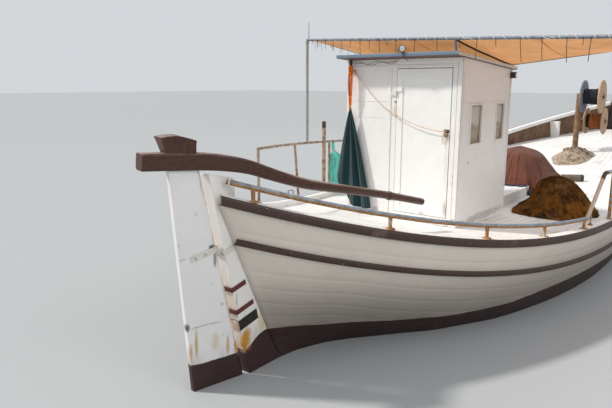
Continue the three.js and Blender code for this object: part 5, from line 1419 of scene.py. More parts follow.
HIGH_POSTS = (-0.5, 0.45, 1.4, 2.35, 3.3)
KNEE_HEIGHT = 0.56
FOOT_GAP = 0.0005
LOW_HEIGHTS = [
    (-4.86, 0.108), (-4.3, 0.112), (-3.6, 0.116), (-2.9, 0.118), (-2.2, 0.116), (-1.6, 0.11), (-1.2, 0.106)
]
low_run = rail_line(LOW_HEIGHTS, -1, 110)
climb = [
    rail_point(x, up, -1)
    for x, up in ((-1.2, 0.106), (-1.17, 0.13), (-1.0, 0.333), (-0.84, 0.52), (-0.795, 0.557), (-0.76, KNEE_HEIGHT))
]
run = low_run + through(climb, 5)[1:] + rail_line([(-0.74, KNEE_HEIGHT), (3.3, KNEE_HEIGHT)], -1, 60)
starboard_parts = [tube("run", run, 0.021, 18)]
for x in HIGH_POSTS:
    foot, head = rail_point(x, FOOT_GAP, -1), rail_point(x, KNEE_HEIGHT, -1)
    starboard_parts.append(bar("post", foot, head, 0.02, 18))
dressed(joined("low_rail", starboard_parts), rail_coat_and_sky_reflection, "hull", "handrail_starboard", slot="white_pipe")
feet = []
for x in LOW_POSTS:
    foot, head = rail_point(x, FOOT_GAP, -1), rail_point(x, 0.1, -1)
    feet.append(
        tube("stub", [foot, foot.lerp(head, 0.25), foot.lerp(head, 0.75), head], [0.0185, 0.016, 0.0165, 0.02], 16)
    )
    feet.append(flange(foot, 0.042))
for x in HIGH_POSTS:
    feet.append(flange(rail_point(x, FOOT_GAP, -1)))
dressed(joined("low_rail_feet", feet), rail_iron, "hull")
end_cap = turned(
    "low_rail_end_cap", [(0.018, -0.001), (0.0218, 0.0), (0.0218, 0.012), (0.018, 0.014)],
    rail_point(-4.872, 0.108, -1), low_run[0] - low_run[1], 16
)
dressed(end_cap, rusty_pipe, "hull")
elbow_path = through(
    [
        rail_point(x, up, -1)
        for x, up in ((-0.86, 0.497), (-0.82, 0.54), (-0.795, 0.557), (-0.77, KNEE_HEIGHT), (-0.74, KNEE_HEIGHT))
    ],
    4
)
dressed(tube("rail_elbow", elbow_path, 0.0225, 18), dark_iron, "hull")
crutch = rail_point(-1.1, 0.0, -1)
leg = [crutch + Vector((0.1, 0.02, 0.001)), crutch + Vector((0.06, 0.01, 0.12)), rail_point(-1.1, 0.22, -1)]
crutch_parts = [tube("leg", leg, 0.008, 10), flange(crutch + Vector((0.1, 0.02, 0.0005)), 0.028)]
dressed(joined("rail_crutch", crutch_parts), rail_iron, "hull")


def port_up(x):
    return 1.65 + (1.5 - 1.65) * (x + 3.27) / (3.27 - 0.5) - sheer(x)


port_parts = [tube("run", [rail_point(x, port_up(x), 1) for x in np.linspace(-3.27, -0.5, 40)], 0.016, 14)]
FORE_UP = port_up(-0.5)
port_parts.append(tube("run", rail_line([(-0.5, FORE_UP), (3.3, FORE_UP)], 1, 50), 0.016, 14))
port_posts = [(x, port_up(x)) for x in (-3.27, -2.17, -1.15)] + [(x, FORE_UP) for x in HIGH_POSTS]
for x, up in port_posts:
    foot, head = rail_point(x + (0.11 if x == -2.17 else 0), FOOT_GAP, 1), rail_point(x, up, 1)
    port_parts.append(bar("post", foot, head, 0.016, 14))
    port_parts.append(flange(foot))
dressed(joined("port_rail_tubes", port_parts), rusty_pipe, "hull", "handrail_port", slot="white_pipe")

# Roller post: a rusty steel tube on the port rail cap with a black tarred head and a welded collar.
# Cap staple: a bent bar over the port cap rail, to make a rope fast.
post_low, post_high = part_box("roller_post")
post_mid = (post_low + post_high) / 2
top = post_high.z
profile = [(0.024, 0.0), (0.026, 0.01), (0.0262, 0.35), (0.0262, top - post_low.z - 0.09)]
orange_pipe = metal("orange_rusty_pipe", (0.42, 0.33, 0.24, 1), (0.36, 0.18, 0.07, 1), 0.5, 0.5, 0.0)
dressed(
    turned("roller_post_tube", profile, (post_mid.x, post_mid.y, post_low.z), (0, 0, 1), 24), orange_pipe, "hull",
    "roller_post", slot="rusty_red_metal"
)
head_profile = [
    (0.0262, top - 0.092), (0.029, top - 0.088), (0.029, top - 0.072), (0.0272, top - 0.066), (0.0276, top - 0.03),
    (0.029, top - 0.02), (0.0272, top - 0.005), (0.014, top)
]
dressed(turned("roller_post_head", head_profile, (post_mid.x, post_mid.y, 0), (0, 0, 1), 24), dark_iron, "hull")
STAPLE_ROWS = (
    (0.014, 0.0), (0.014, 0.09), (0.018, 0.112), (0.03, 0.12), (0.065, 0.12), (0.077, 0.112), (0.081, 0.09),
    (0.081, 0.0)
)
staple_bar = through([edge_point(-2.3, reach, up, 1) for reach, up in STAPLE_ROWS], 6)
worn_steel = metal("worn_steel", (0.3, 0.31, 0.32, 1), (0.24, 0.17, 0.12, 1), 0.3, 0.42, 0.6)
dressed(tube("cap_staple_bar", staple_bar, 0.0088, 14), worn_steel, "hull", "cap_staple", slot="steel")

# Awning frame: a pole on the port rail, a boom over the roof on a short strut, a pole and pipe to starboard.
# The tubes are grey blue with thin pale lashings wound along the boom.
frame_paint = metal("awning_pipe_paint", (0.15, 0.19, 0.24, 1), (0.3, 0.22, 0.15, 1), 0.42, 0.45, 0.1)
pole_paint = metal("awning_pole_paint", (0.36, 0.34, 0.33, 1), (0.33, 0.24, 0.17, 1), 0.3, 0.45, 0.1)
pole_at = rail_point(-1.8, 0, 1)
POLE_FOOT = pole_at.z + port_up(-1.8) + 0.0166
boom_port = Vector((pole_at.x, pole_at.y, 2.875))
boom_end = Vector((-2.825, -2.3, 2.67))


def on_boom(share):
    return boom_port.lerp(boom_end, share)


strut_top = on_boom((boom_port.y + 0.68) / (boom_port.y - boom_end.y))
strut_foot = Vector((strut_top.x + 0.035, strut_top.y, house_top(strut_top.x + 0.035) + 0.0386))
pole = turned(
    "port_pole",
    [(0.018, 0.0), (0.018, 0.4), (0.0178, 0.8), (0.0182, 2.89 - POLE_FOOT - 0.003), (0.014, 2.89 - POLE_FOOT)],
    (pole_at.x, pole_at.y, POLE_FOOT), (0, 0, 1), 20
)
clamp = turned(
    "clamp", [(0.019, 0.0), (0.0225, 0.002), (0.0225, 0.03), (0.019, 0.032)], (pole_at.x, pole_at.y, 2.83), (0, 0, 1),
    20
)
dressed(joined("port_awning_pole", [pole, clamp]), pole_paint, "hull", "awning_frame", slot="white_pipe")
boom = tube("boom", [on_boom(k / 40) for k in range(41)], 0.0148, 16)
foot_plate = turned("plate", [(0.016, 0.0), (0.016, 0.004), (0.012, 0.006)], strut_foot, (0, 0, 1), 20)
strut = bar("strut", strut_foot, strut_top, 0.012, 14)
dressed(joined("awning_boom", [boom, strut, foot_plate]), frame_paint, "hull")
whip_at = on_boom(0.0085)
whip = [whip_at, whip_at + Vector((0, 0, 0.1)), whip_at + Vector((0, 0, 0.215))]
dressed(tube("whip_aerial", whip, [0.0042, 0.0036, 0.0026], 8), dark_iron, "hull")
pole_foot = rail_point(-0.3, 0.5849, -1)
side_head = Vector((pole_foot.x, pole_foot.y, 2.735))
side_aft = boom_end + Vector((0.03, 0.06, 0.0333))
side_parts = [
    turned(
        "pole", [(0.018, 0.0), (0.018, 0.8), (0.018, 2.747 - pole_foot.z), (0.014, 2.75 - pole_foot.z)], pole_foot,
        (0, 0, 1), 20
    ),
    bar("pipe", side_head, side_aft, 0.0148, 16),
]
dressed(joined("starboard_awning_pole", side_parts), frame_paint, "hull", "awning_frame_starboard", slot="white_pipe")
pale_cord = rope_finish("pale_lashing", (0.72, 0.7, 0.66, 1), (0.34, 0.32, 0.3, 1), 0.4)
boom_way = (boom_end - boom_port).normalized()
side_way = boom_way.orthogonal().normalized()
lift_way = boom_way.cross(side_way)
wraps = []
for k in range(900):
    share = 0.015 + 0.97 * k / 899
    turn = 2 * pi * (k / 30 + 0.9 * lump(share * 40, 0, 0))
    wraps.append(swung(on_boom(share), side_way, lift_way, 0.0172, turn))
dressed(tube("boom_lashing", wraps, 0.0022, 6), pale_cord, "hull")

# Awning: tan canvas laced to the boom and drawn down to the roof's front corners and the starboard pole.
# It has seams every metre or so, a dark roped hem, and loose lacing ends; the sun glows through the cloth.
forward_way = Vector((-boom_way.y, boom_way.x, 0)).normalized()
corner_z = house_top(HOUSE_FRONT) + 0.0003 + 0.038 + 0.014
CANVAS_EDGE = [
    (0.012, on_boom(0.012) + forward_way * 0.06), (0.24, Vector((HOUSE_FRONT, HOUSE_SIDE, corner_z))),
    (0.59, Vector((HOUSE_FRONT, -HOUSE_SIDE, corner_z))), (0.985, side_head + Vector((-0.03, 0.034, -0.024))),
]


def canvas_point(share, down, below=0.0):
    for (a, start), (b, end) in zip(CANVAS_EDGE, CANVAS_EDGE[1:]):
        if share <= b + 1e-6:
            fore = start.lerp(end, (share - a) / (b - a))
            break
    aft = on_boom(share) + forward_way * 0.0142
    place = aft.lerp(fore, down)
    sag = 0.045 * (0.25 if share < 0.62 else 1.0)
    pull = 0.006 * sin(share * 2 * pi * 17) * (1 - down) ** 3
    wrinkle = 0.004 * lump(share * 16, down * 3, 1.7) * sin(pi * down)
    place.z += pull + wrinkle - sag * 4 * down * (1 - down) - below
    return place


COLUMNS, ROWS = 130, 26
shares = [0.012 + 0.973 * k / COLUMNS for k in range(COLUMNS + 1)]
upper = [[canvas_point(share, row / ROWS, 0.0005) for row in range(ROWS + 1)] for share in shares]
lower = [[canvas_point(share, row / ROWS, 0.0025) for row in range(ROWS + 1)] for share in shares]
awning = sheet_body("awning_sheet", upper, lower)


def waves(tree, vector, scale, distortion, direction):
    wires = {"Vector": vector, "Scale": scale, "Distortion": distortion, "Detail": 2.0}
    return put(tree, "TexWave", wires, bands_direction=direction).outputs[0]


def cloth_material(name, coat, back, pitch, through_share=0.0, glow=(0.8, 0.55, 0.3, 1), rough=0.9):
    material, tree, shader, where = fresh_material(name)
    cloud = speckle(tree, where, 2.6, 8.0, 0.65)
    fine = speckle(tree, where, 45.0, 4.0, 0.6)
    warp = waves(tree, where, pitch, 1.2, "X")
    weft = waves(tree, where, pitch, 1.2, "Y")
    weave = times(tree, plus(tree, warp, weft), 0.5)
    mix = sloped(tree, fine, 0.35, sloped(tree, weave, 0.12, times(tree, cloud, 0.7)))
    colour = tinted(tree, between(tree, mix, 0.4, 0.82), coat, back)
    wired(tree, shader, {"Base Color": colour, "Roughness": rough, "Specular IOR Level": 0.15, "Sheen Weight": 0.15})
    raised(tree, shader, sloped(tree, weave, 0.6, fine), 0.0012)
    if through_share:
        lit = tinted(tree, between(tree, mix, 0.4, 0.82), glow, darker(glow, 0.75))
        glowing = put(tree, "BsdfTranslucent", {"Color": lit})
        mixed = put(tree, "MixShader", {0: through_share, 1: shader.outputs[0], 2: glowing.outputs[0]})
        out = next(n for n in tree.nodes if n.type == "OUTPUT_MATERIAL")
        wired(tree, out, {"Surface": mixed.outputs[0]})
    return material


canvas = cloth_material("tan_canvas", (0.72, 0.47, 0.28, 1), (0.6, 0.38, 0.22, 1), 55, 0.6, (0.99, 0.7, 0.44, 1))
dressed(awning, canvas, "hull", "awning_canvas", slot="canvas")
dark_rope = rope_finish("dark_hem_rope", (0.05, 0.045, 0.04, 1), (0.12, 0.09, 0.06, 1), 0.5)
hems = [
    tube("hem", [canvas_point(share, 1.0, 0.004) for share in shares], 0.005, 8),
    tube("hem", [canvas_point(0.585 + 0.005 * k / 24, k / 24, 0.01) for k in range(25)], 0.0098, 8),
    tube("hem", [canvas_point(0.985, k / 24, 0.004) for k in range(25)], 0.005, 8),
]
hem = dressed(joined("awning_hem_rope", hems), dark_rope, "hull")
seams = []
for share in (0.22, 0.44, 0.8):
    left = [canvas_point(share - 0.0016, k / 24, 0.0028) for k in range(25)]
    right = [canvas_point(share + 0.0016, k / 24, 0.0028) for k in range(25)]
    seams.append(
        sheet_body("seam", [left, right], [[p - Vector((0, 0, 0.001)) for p in row] for row in (left, right)])
    )
canvas_seams = dressed(joined("awning_seams", seams), canvas, "hull")
dice = random.Random(11)
laces = []
LACE_ROWS = (
    (0.03, 0.03), (0.055, 0.07), (0.075, 0.04), (0.094, 0.09), (0.133, 0.11), (0.172, 0.13), (0.21, 0.06),
    (0.252, 0.14), (0.29, 0.07), (0.329, 0.12), (0.36, 0.05), (0.393, 0.12), (0.46, 0.13), (0.532, 0.12), (0.6, 0.07),
    (0.65, 0.17), (0.7, 0.06), (0.761, 0.19), (0.812, 0.17), (0.866, 0.18), (0.9, 0.05), (0.915, 0.17), (0.964, 0.16),
)
for share, hang in LACE_ROWS:
    lean = dice.uniform(-0.01, 0.03)
    over = on_boom(share) + lift_way * 0.019
    under = on_boom(share) - Vector((0, 0, 0.018)) - forward_way * 0.008
    path = [over, on_boom(share) - forward_way * 0.019, under]
    path += [
        under - boom_way * (-lean * hang * step) - forward_way * 0.004 - Vector((0, 0, hang * step / 5))
        for step in range(1, 6)
    ]
    laces.append(tube("lace", through(path, 4), 0.0028, 6))
lacing = dressed(joined("awning_lacing", laces), dark_rope, "hull")
ends = []
for k in range(15):
    share = 0.02 + 0.2 * dice.random()
    start = canvas_point(share, dice.uniform(0.55, 1.0), 0.003)
    drop = dice.uniform(0.03, 0.11)
    path = [
        start + Vector((0.012 * lump(k, s * 2.0, 0), 0.016 * lump(k, 5, s * 2.0), -drop * s))
        for s in (0, 0.25, 0.5, 0.75, 1.0)
    ]
    ends.append(tube("end", through(path, 4), 0.0016, 6))
loose_ends = dressed(joined("awning_loose_ends", ends), dark_rope, "hull")

# Hung cloth: a dark green cloth gathered at one corner and tied by an orange rope to the roof's port aft corner.
# Its weight draws it into long upright folds.
CLOTH_X = -2.276
HANG_CORD = [
    (CLOTH_X, 0.6, 2.5951), (CLOTH_X, 0.601, 2.46), (CLOTH_X, 0.602, 2.33), (CLOTH_X, 0.602, 2.2),
    (CLOTH_X, 0.602, 2.0653)
]
orange_rope = rope_finish("orange_rope", (0.75, 0.17, 0.02, 1), (0.4, 0.07, 0.01, 1), 0.35)
hang_path = through(HANG_CORD, 24)
hang_rope = dressed(
    tube("orange_hanging_rope", hang_path, 0.0047, 12, 3, 0.03, 0.12), orange_rope, "hull", "cloth_cord", slot="rope"
)
strands = []
for number, (aside, deep, low) in enumerate((
    (0.026, 0.006, 2.07), (0.018, -0.008, 2.03), (0.031, -0.004, 2.12), (-0.016, 0.004, 2.12), (-0.024, -0.006, 2.16),
    (-0.008, 0.009, 2.1)
)):
    path = []
    for k in range(60):
        share = k / 59
        wave = 0.006 * lump(share * 4, number * 3.1, 0)
        spread = 0.35 + 0.65 * sin(pi * min(share * 1.15, 1)) ** 0.6
        path.append(Vector((CLOTH_X + deep + wave, 0.601 + aside * spread + wave, 2.52 + (low - 2.52) * share)))
    strands.append(tube("strand", path, 0.0058, 8, 3, 0.026, 0.1))
for z, seed in ((2.51, 1), (2.485, 2), (2.45, 6)):
    strands.append(knot("knot", (CLOTH_X, 0.601, z), 0.022, 0.0065, seed))
rope_knots = dressed(joined("orange_rope_strands", strands), orange_rope, "hull")
lashings = [knot("knot", (CLOTH_X, 0.6, z), 0.013, 0.005, seed) for z, seed in ((2.575, 3), (2.553, 4), (2.53, 5))]
fall = [(CLOTH_X - 0.01, 0.606, 2.52), (CLOTH_X - 0.014, 0.607, 2.4), (CLOTH_X - 0.012, 0.604, 2.2)]
lashings.append(tube("fall", through(fall, 8), 0.004, 8))
dark_lashing = dressed(joined("dark_cloth_lashing", lashings), dark_rope, "hull")

APEX = (0.602, 2.064)
HEM_LINE = [
    (0.0, 0.312, 0.942), (0.2, 0.37, 0.938), (0.42, 0.47, 0.94), (0.6, 0.565, 0.965), (0.73, 0.62, 1.03),
    (0.87, 0.715, 1.16), (1.0, 0.79, 1.272)
]


def cloth_point(share, down):
    y, z = along(HEM_LINE, share), along(HEM_LINE, share, 2)
    spread = down**0.9
    fold = sin(2 * pi * (2.9 * share + 0.12 * sin(2.4 * down)) + 0.6) + 0.18 * sin(2 * pi * 9 * share + 2 * down)
    deep = (0.005 + 0.036 * down**0.8) * (0.8 + 0.4 * lump(share * 5, down * 1.5, 3.3))
    sway = 0.01 * sin(3 * down + 4 * share)
    width = 0.014 * (share - 0.5) * (1 - down)
    aside = APEX[0] + (y - APEX[0]) * spread + width + 0.008 * fold * down
    return Vector((CLOTH_X + deep * fold + sway * down, aside, APEX[1] + (z - APEX[1]) * down))


front, behind = [], []
for row in range(71):
    down = row / 70
    line, back = [], []
    for k in range(121):
        here = cloth_point(k / 120, down)
        aside = cloth_point(min(k / 120 + 0.004, 1.0), down) - cloth_point(max(k / 120 - 0.004, 0.0), down)
        normal = Vector((-aside.y, aside.x, 0))
        normal = normal.normalized() if normal.length > 1e-9 else Vector((-1, 0, 0))
        line.append(here)
        back.append(here + normal * 0.0016)
    front.append(line)
    behind.append(back)
hung = sheet_body("green_cloth", front, behind)
green_cloth = cloth_material(
    "dark_green_cloth", (0.018, 0.045, 0.05, 1), (0.028, 0.062, 0.068, 1), 90, 0.12, (0.02, 0.06, 0.06, 1)
)
dressed(hung, green_cloth, "hull", "hanging_cloth", slot="dark_cloth")

# Heaps of gear: brown trammel nets thrown down beside the hatch in loose folds, a little more against the bulwark.
# A net is thin twine in layers, so the heap shows brown folds and paler veils, with painted shade in its hollows and
# in the gaps of its mesh.
def heap_point(row, turn_round, level):
    x, y, half_x, half_y, low, high, power, root, turn = row
    reach = (1 - min(level, 1.0) ** power) ** root
    bulge = 1 + 0.07 * sin(3 * turn_round + turn + level * 3.4) + 0.04 * cos(5 * turn_round - turn)
    along_x, along_y = half_x * reach * bulge * cos(turn_round), half_y * reach * bulge * sin(turn_round)
    return Vector((x + along_x, y + along_y, low + (high - low) * level))


def deck_level(x, y):
    edge, level = deck_edge(x)
    return level + DECK_CAMBER * (edge.y / HALF_BEAM) ** 2 * (1 - (y / edge.y) ** 2)


def support(x, y):
    on_hatch = hatch_low.x - 0.01 < x < hatch_high.x + 0.01 and hatch_low.y - 0.01 < y < hatch_high.y + 0.01
    return hatch_high.z if on_hatch else deck_level(x, y)


def foot_level(row, turn_round):
    for step in range(60, 0, -1):
        place = heap_point(row, turn_round, step / 60)
        if place.z < support(place.x, place.y):
            return (step + 1) / 60
    return 0.05


def heap_surface(row, around, rows, swell, lift=0.0, shoulder=0.0):
    rings = []
    feet = [foot_level(row, 2 * pi * k / around) for k in range(around)]
    for step in range(rows + 1):
        share = step / rows
        ring = []
        for k in range(around):
            angle = 2 * pi * k / around
            level = feet[k] + (0.992 - feet[k]) * (1 - (1 - share) ** 1.35)
            place = heap_point(row, angle, level)
            inward = Vector((row[0] - place.x, row[1] - place.y, 0))
            place += inward.normalized() * swell(angle, level, place) * min(1, inward.length * 4)
            place.z += shoulder * math.exp(-(((level - 0.8) / 0.13) ** 2)) - 0.25 * shoulder * level**8
            place.z = max(place.z + lift, support(place.x, place.y) + 0.002 + lift)
            ring.append(place)
        rings.append(ring)
    return rings


def crumple(angle, level, place):
    fold = lump(angle * 2.6, level * 1.3, place.x * 0.7)
    small = lump(place.x * 11, place.y * 11, place.z * 14)
    left = max(0.0, cos(angle - 2.35))
    risen = max(0.0, (level - 0.28) / 0.72)
    hollow = left * (0.15 * sin(pi * min(risen * 1.2, 1.0)) - 0.06 * max(0.0, 1 - risen * 6))
    ridge = 0.02 * abs(sin(angle * 5 + 5 * fold + level * 2))
    return 0.015 + 0.025 * min(1.0, risen * 4) + hollow + 0.045 * fold + 0.02 * small + ridge


def netting(name, dark, coat, veil, scale=1.0):
    material, tree, shader, where = fresh_material(name)
    folds = speckle(tree, stretched(tree, where, (1.4 * scale, 2.2 * scale, 0.9 * scale)), 3.2, 8.0, 0.62, 0.9)
    cloud = speckle(tree, where, 2.6 * scale, 6.0, 0.6)
    fine = speckle(tree, where, 70.0, 4.0, 0.7)
    thrown = sloped(tree, fine, 0.3, times(tree, folds, 0.8))
    # Painted shade: the first, darkest colour stands for the hollows between folds.
    colour = tinted(tree, between(tree, thrown, 0.42, 0.66), dark, coat)
    veils = times(tree, between(tree, cloud, 0.5, 0.68), between(tree, fine, 0.35, 0.65))
    colour = tinted(tree, times(tree, veils, 0.8), colour, veil)
    one = waves(tree, where, 34.0, 5.0, "DIAGONAL")
    two = waves(tree, stretched(tree, where, (1, -1, 1)), 34.0, 5.0, "DIAGONAL")
    mesh = reckon(tree, "MAXIMUM", between(tree, one, 0.8, 0.95), between(tree, two, 0.8, 0.95))
    # Painted shade: the gaps between the twines are darkened towards the darkest colour.
    colour = tinted(tree, times(tree, reckon(tree, "SUBTRACT", 1.0, mesh), 0.3), colour, dark)
    wired(tree, shader, {"Base Color": colour, "Roughness": 0.92, "Specular IOR Level": 0.12})
    raised(tree, shader, sloped(tree, mesh, 0.5, thrown), 0.006)
    return material


def twines(name, row, count, radius, length, seed, lift, tight=0.5, low=0.0):
    rng = random.Random(seed)
    made = []
    for _ in range(count):
        angle, level = rng.uniform(0, 2 * pi), rng.uniform(max(foot_level(row, 0.0), low), 0.97)
        heading = rng.uniform(0, 2 * pi)
        path = []
        for _ in range(length):
            level = min(max(level, foot_level(row, angle) + 0.01), 0.985)
            place = heap_point(row, angle, level)
            inward = Vector((row[0] - place.x, row[1] - place.y, 0))
            place += inward.normalized() * crumple(angle, level, place) * min(1, inward.length * 4)
            place.z = max(place.z, support(place.x, place.y) + radius) + lift * rng.uniform(0.6, 1.3)
            path.append(place)
            heading += rng.gauss(0, tight)
            reach = max((1 - level ** row[6]) ** row[7], 0.15)
            angle += 0.055 * cos(heading) / reach
            level += 0.045 * sin(heading)
        made.append(tube("twine", through(path, 2), radius, 5))
    return joined(name, made)


NET_PILE = (-0.19, -1.11, 0.68, 0.512, 0.6, 1.2, 2.6, 0.67, -0.55)
brown_net = netting("brown_netting", (0.032, 0.014, 0.005, 1), (0.29, 0.115, 0.018, 1), (0.33, 0.22, 0.15, 1))
pile = lofted("thrown_net", heap_surface(NET_PILE, 200, 60, crumple))
dressed(pile, brown_net, "hull", "net_pile", slot="brown_net")
dressed(twines("net_twines", NET_PILE, 130, 0.0035, 22, 4, 0.006, 0.35), brown_net, "hull")
head_line = rope_finish("net_head_line", (0.2, 0.09, 0.025, 1), (0.04, 0.025, 0.015, 1), 0.6)
dressed(twines("net_head_lines", NET_PILE, 4, 0.0055, 40, 9, 0.008, 0.22), head_line, "hull")

# Covered heap: fish boxes and gear forward of the wheelhouse under a maroon cover that hangs in long folds.
# A dark blue sheet shows under its hem on the hatch.
COVERED_HEAP = (1.107, -0.19, 0.967, 0.8, 0.6, 1.422, 1.54, 0.8, -0.87)


def pleats(angle, level, place):
    lower = max(0.0, 1 - level) ** 0.7
    fold = lump(cos(angle) * 6, sin(angle) * 6, level * 0.8)
    thin = lump(cos(angle) * 17, sin(angle) * 17, level * 1.6)
    broad = lump(angle * 2.2, level * 1.2, 4.0)
    crease = abs(lump(place.x * 3.1, place.y * 3.1, place.z * 5 + 9))
    return 0.02 + 0.06 * (0.3 + lower) * fold + 0.022 * thin * (0.4 + lower) + 0.04 * broad - 0.03 * crease


cover_outer = heap_surface(COVERED_HEAP, 320, 64, pleats, 0.004, 0.06)
cover_inner = heap_surface(COVERED_HEAP, 320, 64, pleats, 0.001, 0.06)
crown = [sum((p for p in ring), Vector()) / len(ring) for ring in (cover_outer[-1], cover_inner[-1])]


def crowned(rings, middle):
    closed = [ring + [ring[0]] for ring in rings]
    for share in (0.66, 0.33, 0.01):
        closed.append([middle.lerp(p, share) + Vector((0, 0, 0.006 * (1 - share))) for p in closed[len(rings) - 1]])
    return closed


cover = sheet_body("maroon_cover", crowned(cover_outer, crown[0]), crowned(cover_inner, crown[1]))
maroon_cloth = cloth_material(
    "maroon_cover_cloth", (0.165, 0.06, 0.038, 1), (0.085, 0.028, 0.02, 1), 70, 0.06, (0.26, 0.08, 0.05, 1)
)
dressed(cover, maroon_cloth, "hull", "covered_heap", slot="maroon_cover")
hem_ring = []
for share, drop in ((0.0, 0.002), (1.0, 0.0035)):
    line = []
    for k in range(150):
        angle = pi * (0.86 + 0.74 * k / 149)
        base = heap_point(COVERED_HEAP, angle, foot_level(COVERED_HEAP, angle))
        out = Vector((cos(angle), sin(angle), 0))
        place = base + out * (-0.05 + share * (0.12 + 0.05 * lump(angle * 6, 0, 0)))
        place.z = support(place.x, place.y) + drop + 0.03 * abs(lump(angle * 9, share * 3, 1))
        line.append(place)
    hem_ring.append(line)
blue_sheet = sheet_body(
    "blue_under_sheet", hem_ring, [[p - Vector((0, 0, 0.0012)) for p in line] for line in hem_ring]
)
blue_cloth = cloth_material("dark_blue_cloth", (0.012, 0.03, 0.085, 1), (0.02, 0.05, 0.12, 1), 80)
dressed(blue_sheet, blue_cloth, "hull")

# Deck pipe: a short length of old grey pipe that lies loose beside the cover.
# Its forward end is a black rubber sleeve.
PIPE_FROM, PIPE_TO = Vector((1.7, -0.56, 0.89)), Vector((1.925, -0.925, 0.89))
pipe_way = (PIPE_TO - PIPE_FROM).normalized()
pipe_length = (PIPE_TO - PIPE_FROM).length
grey_pipe = metal("grey_pipe", (0.15, 0.115, 0.085, 1), (0.17, 0.1, 0.06, 1), 0.4, 0.7, 0.0)
body_profile = [
    (0.045, 0.11), (0.0545, 0.112), (0.055, 0.14), (0.055, pipe_length - 0.05), (0.05, pipe_length - 0.048)
]
dressed(turned("deck_pipe_body", body_profile, PIPE_FROM, pipe_way, 32), grey_pipe, "hull", "deck_pipe", slot="steel")
end_profile = [
    (0.05, pipe_length - 0.06), (0.0548, pipe_length - 0.058), (0.055, pipe_length - 0.004), (0.052, pipe_length),
    (0.042, pipe_length), (0.041, pipe_length - 0.03), (0.002, pipe_length - 0.031)
]
dressed(turned("deck_pipe_end", end_profile, PIPE_FROM, pipe_way, 32), black_rubber, "hull")

# Net bundle: blue green netting gathered over the port handrail.
# It is tied round near its top with a few turns of twine.
bundle_low, bundle_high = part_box("net_bundle")
bundle_x, bundle_top = (bundle_low.x + bundle_high.x) / 2, bundle_high.z
bundle_y = rail_point(-1.04, 0, 1).y
BUNDLE = [
    (0.0, 0.03, 0.018), (0.12, 0.036, 0.024), (0.155, 0.085, 0.045), (0.19, 0.118, 0.062), (0.36, 0.14, 0.088),
    (0.5, 0.135, 0.09), (0.62, 0.11, 0.075), (0.688, 0.07, 0.055)
]


def bundle_point(angle, drop, grow=0.0):
    half_x, half_y = along(BUNDLE, drop), along(BUNDLE, drop, 2)
    fold = 1 - 0.1 * abs(sin(angle * 7 + 2.5 * lump(angle, drop * 4, 0))) - 0.08 * abs(lump(angle * 2, drop * 9, 2))
    y = bundle_y - max(half_y - 0.02, 0) + (half_y * fold + grow) * sin(angle)
    return Vector((bundle_x + (half_x * fold + grow) * cos(angle), y, bundle_top - drop))


blue_net = netting(
    "blue_green_netting", (0.12, 0.58, 0.5, 1), (0.26, 0.86, 0.74, 1), (0.55, 0.95, 0.87, 1), scale=2.0
)
bundle_rings = [[bundle_point(2 * pi * k / 90, drop) for k in range(90)] for drop in np.linspace(0.001, 0.687, 60)]
dressed(lofted("blue_green_bundle", bundle_rings), blue_net, "hull", "net_bundle", slot="blue_net")
dice = random.Random(3)
hanks = []
for _ in range(70):
    angle, drop = dice.uniform(0, 2 * pi), dice.uniform(0.13, 0.3)
    path = []
    for _ in range(14):
        path.append(bundle_point(angle, min(drop, 0.68), 0.0015))
        angle += dice.gauss(0, 0.07)
        drop += dice.uniform(0.01, 0.04)
    hanks.append(tube("twine", through(path, 2), 0.0022, 5))
dressed(joined("bundle_twines", hanks), blue_net, "hull")
ties = [
    tube(
        "tie", [bundle_point(2 * pi * k / 40, 0.1 + 0.012 * turn + 0.012 * k / 40, 0.004) for k in range(41)], 0.0035,
        8
    )
    for turn in range(3)
]
dressed(joined("bundle_tie", ties), pale_cord, "hull")

# Pale netting: a spread heap of light twine and line round the foot of the reel stand.
# It is a loose mass with single turns of pale and dark twine thrown over it.
PALE_HEAP = (3.99, -0.24, 1.078, 0.485, 0.7, 1.175, 2.1, 0.95, 2.1)


def tangle(angle, level, place):
    small = lump(place.x * 14, place.y * 14, place.z * 22)
    return 0.02 + 0.03 * lump(angle * 3, level * 2, 5.0) + 0.015 * small


pale_twine = netting("pale_netting", (0.17, 0.11, 0.07, 1), (0.66, 0.54, 0.41, 1), (0.92, 0.88, 0.8, 1), scale=3.0)
dressed(
    lofted("pale_net_mass", heap_surface(PALE_HEAP, 170, 26, tangle)), pale_twine, "hull", "pale_net_heap",
    slot="pale_net"
)
dressed(twines("pale_twines", PALE_HEAP, 210, 0.0055, 20, 21, 0.012, 0.75), pale_twine, "hull")
dark_twine = rope_finish("dark_twine", (0.06, 0.035, 0.02, 1), (0.25, 0.16, 0.09, 1), 0.6)
dressed(twines("dark_twines", PALE_HEAP, 60, 0.005, 18, 22, 0.014, 0.6), dark_twine, "hull")

# Reel stand: a welded steel post with an arm, rusty brown all over.
# Each reel is a pair of plywood flanges on a drum, wound full of rope, and turns on a steel axle.
stand_iron = metal("stand_iron", (0.15, 0.08, 0.045, 1), (0.33, 0.19, 0.09, 1), 0.6, 0.7, 0.0)
carried_over("reel_post", "reel_stand", 0.003, stand_iron, "hull", "rusty_red_metal")


def flange_wood(name, coat, dark):
    material, tree, shader, where = fresh_material(name)
    grain = speckle(tree, stretched(tree, where, (1.4, 10, 12)), 4.0, 8.0, 0.6, 0.4)
    cloud = speckle(tree, where, 7.0, 6.0, 0.65)
    wood = tinted(tree, between(tree, grain, 0.32, 0.72), dark, coat)
    wood = tinted(tree, between(tree, cloud, 0.55, 0.72), wood, darker(dark, 0.55))
    wired(tree, shader, {"Base Color": wood, "Roughness": 0.72})
    raised(tree, shader, grain, 0.0014)
    return material


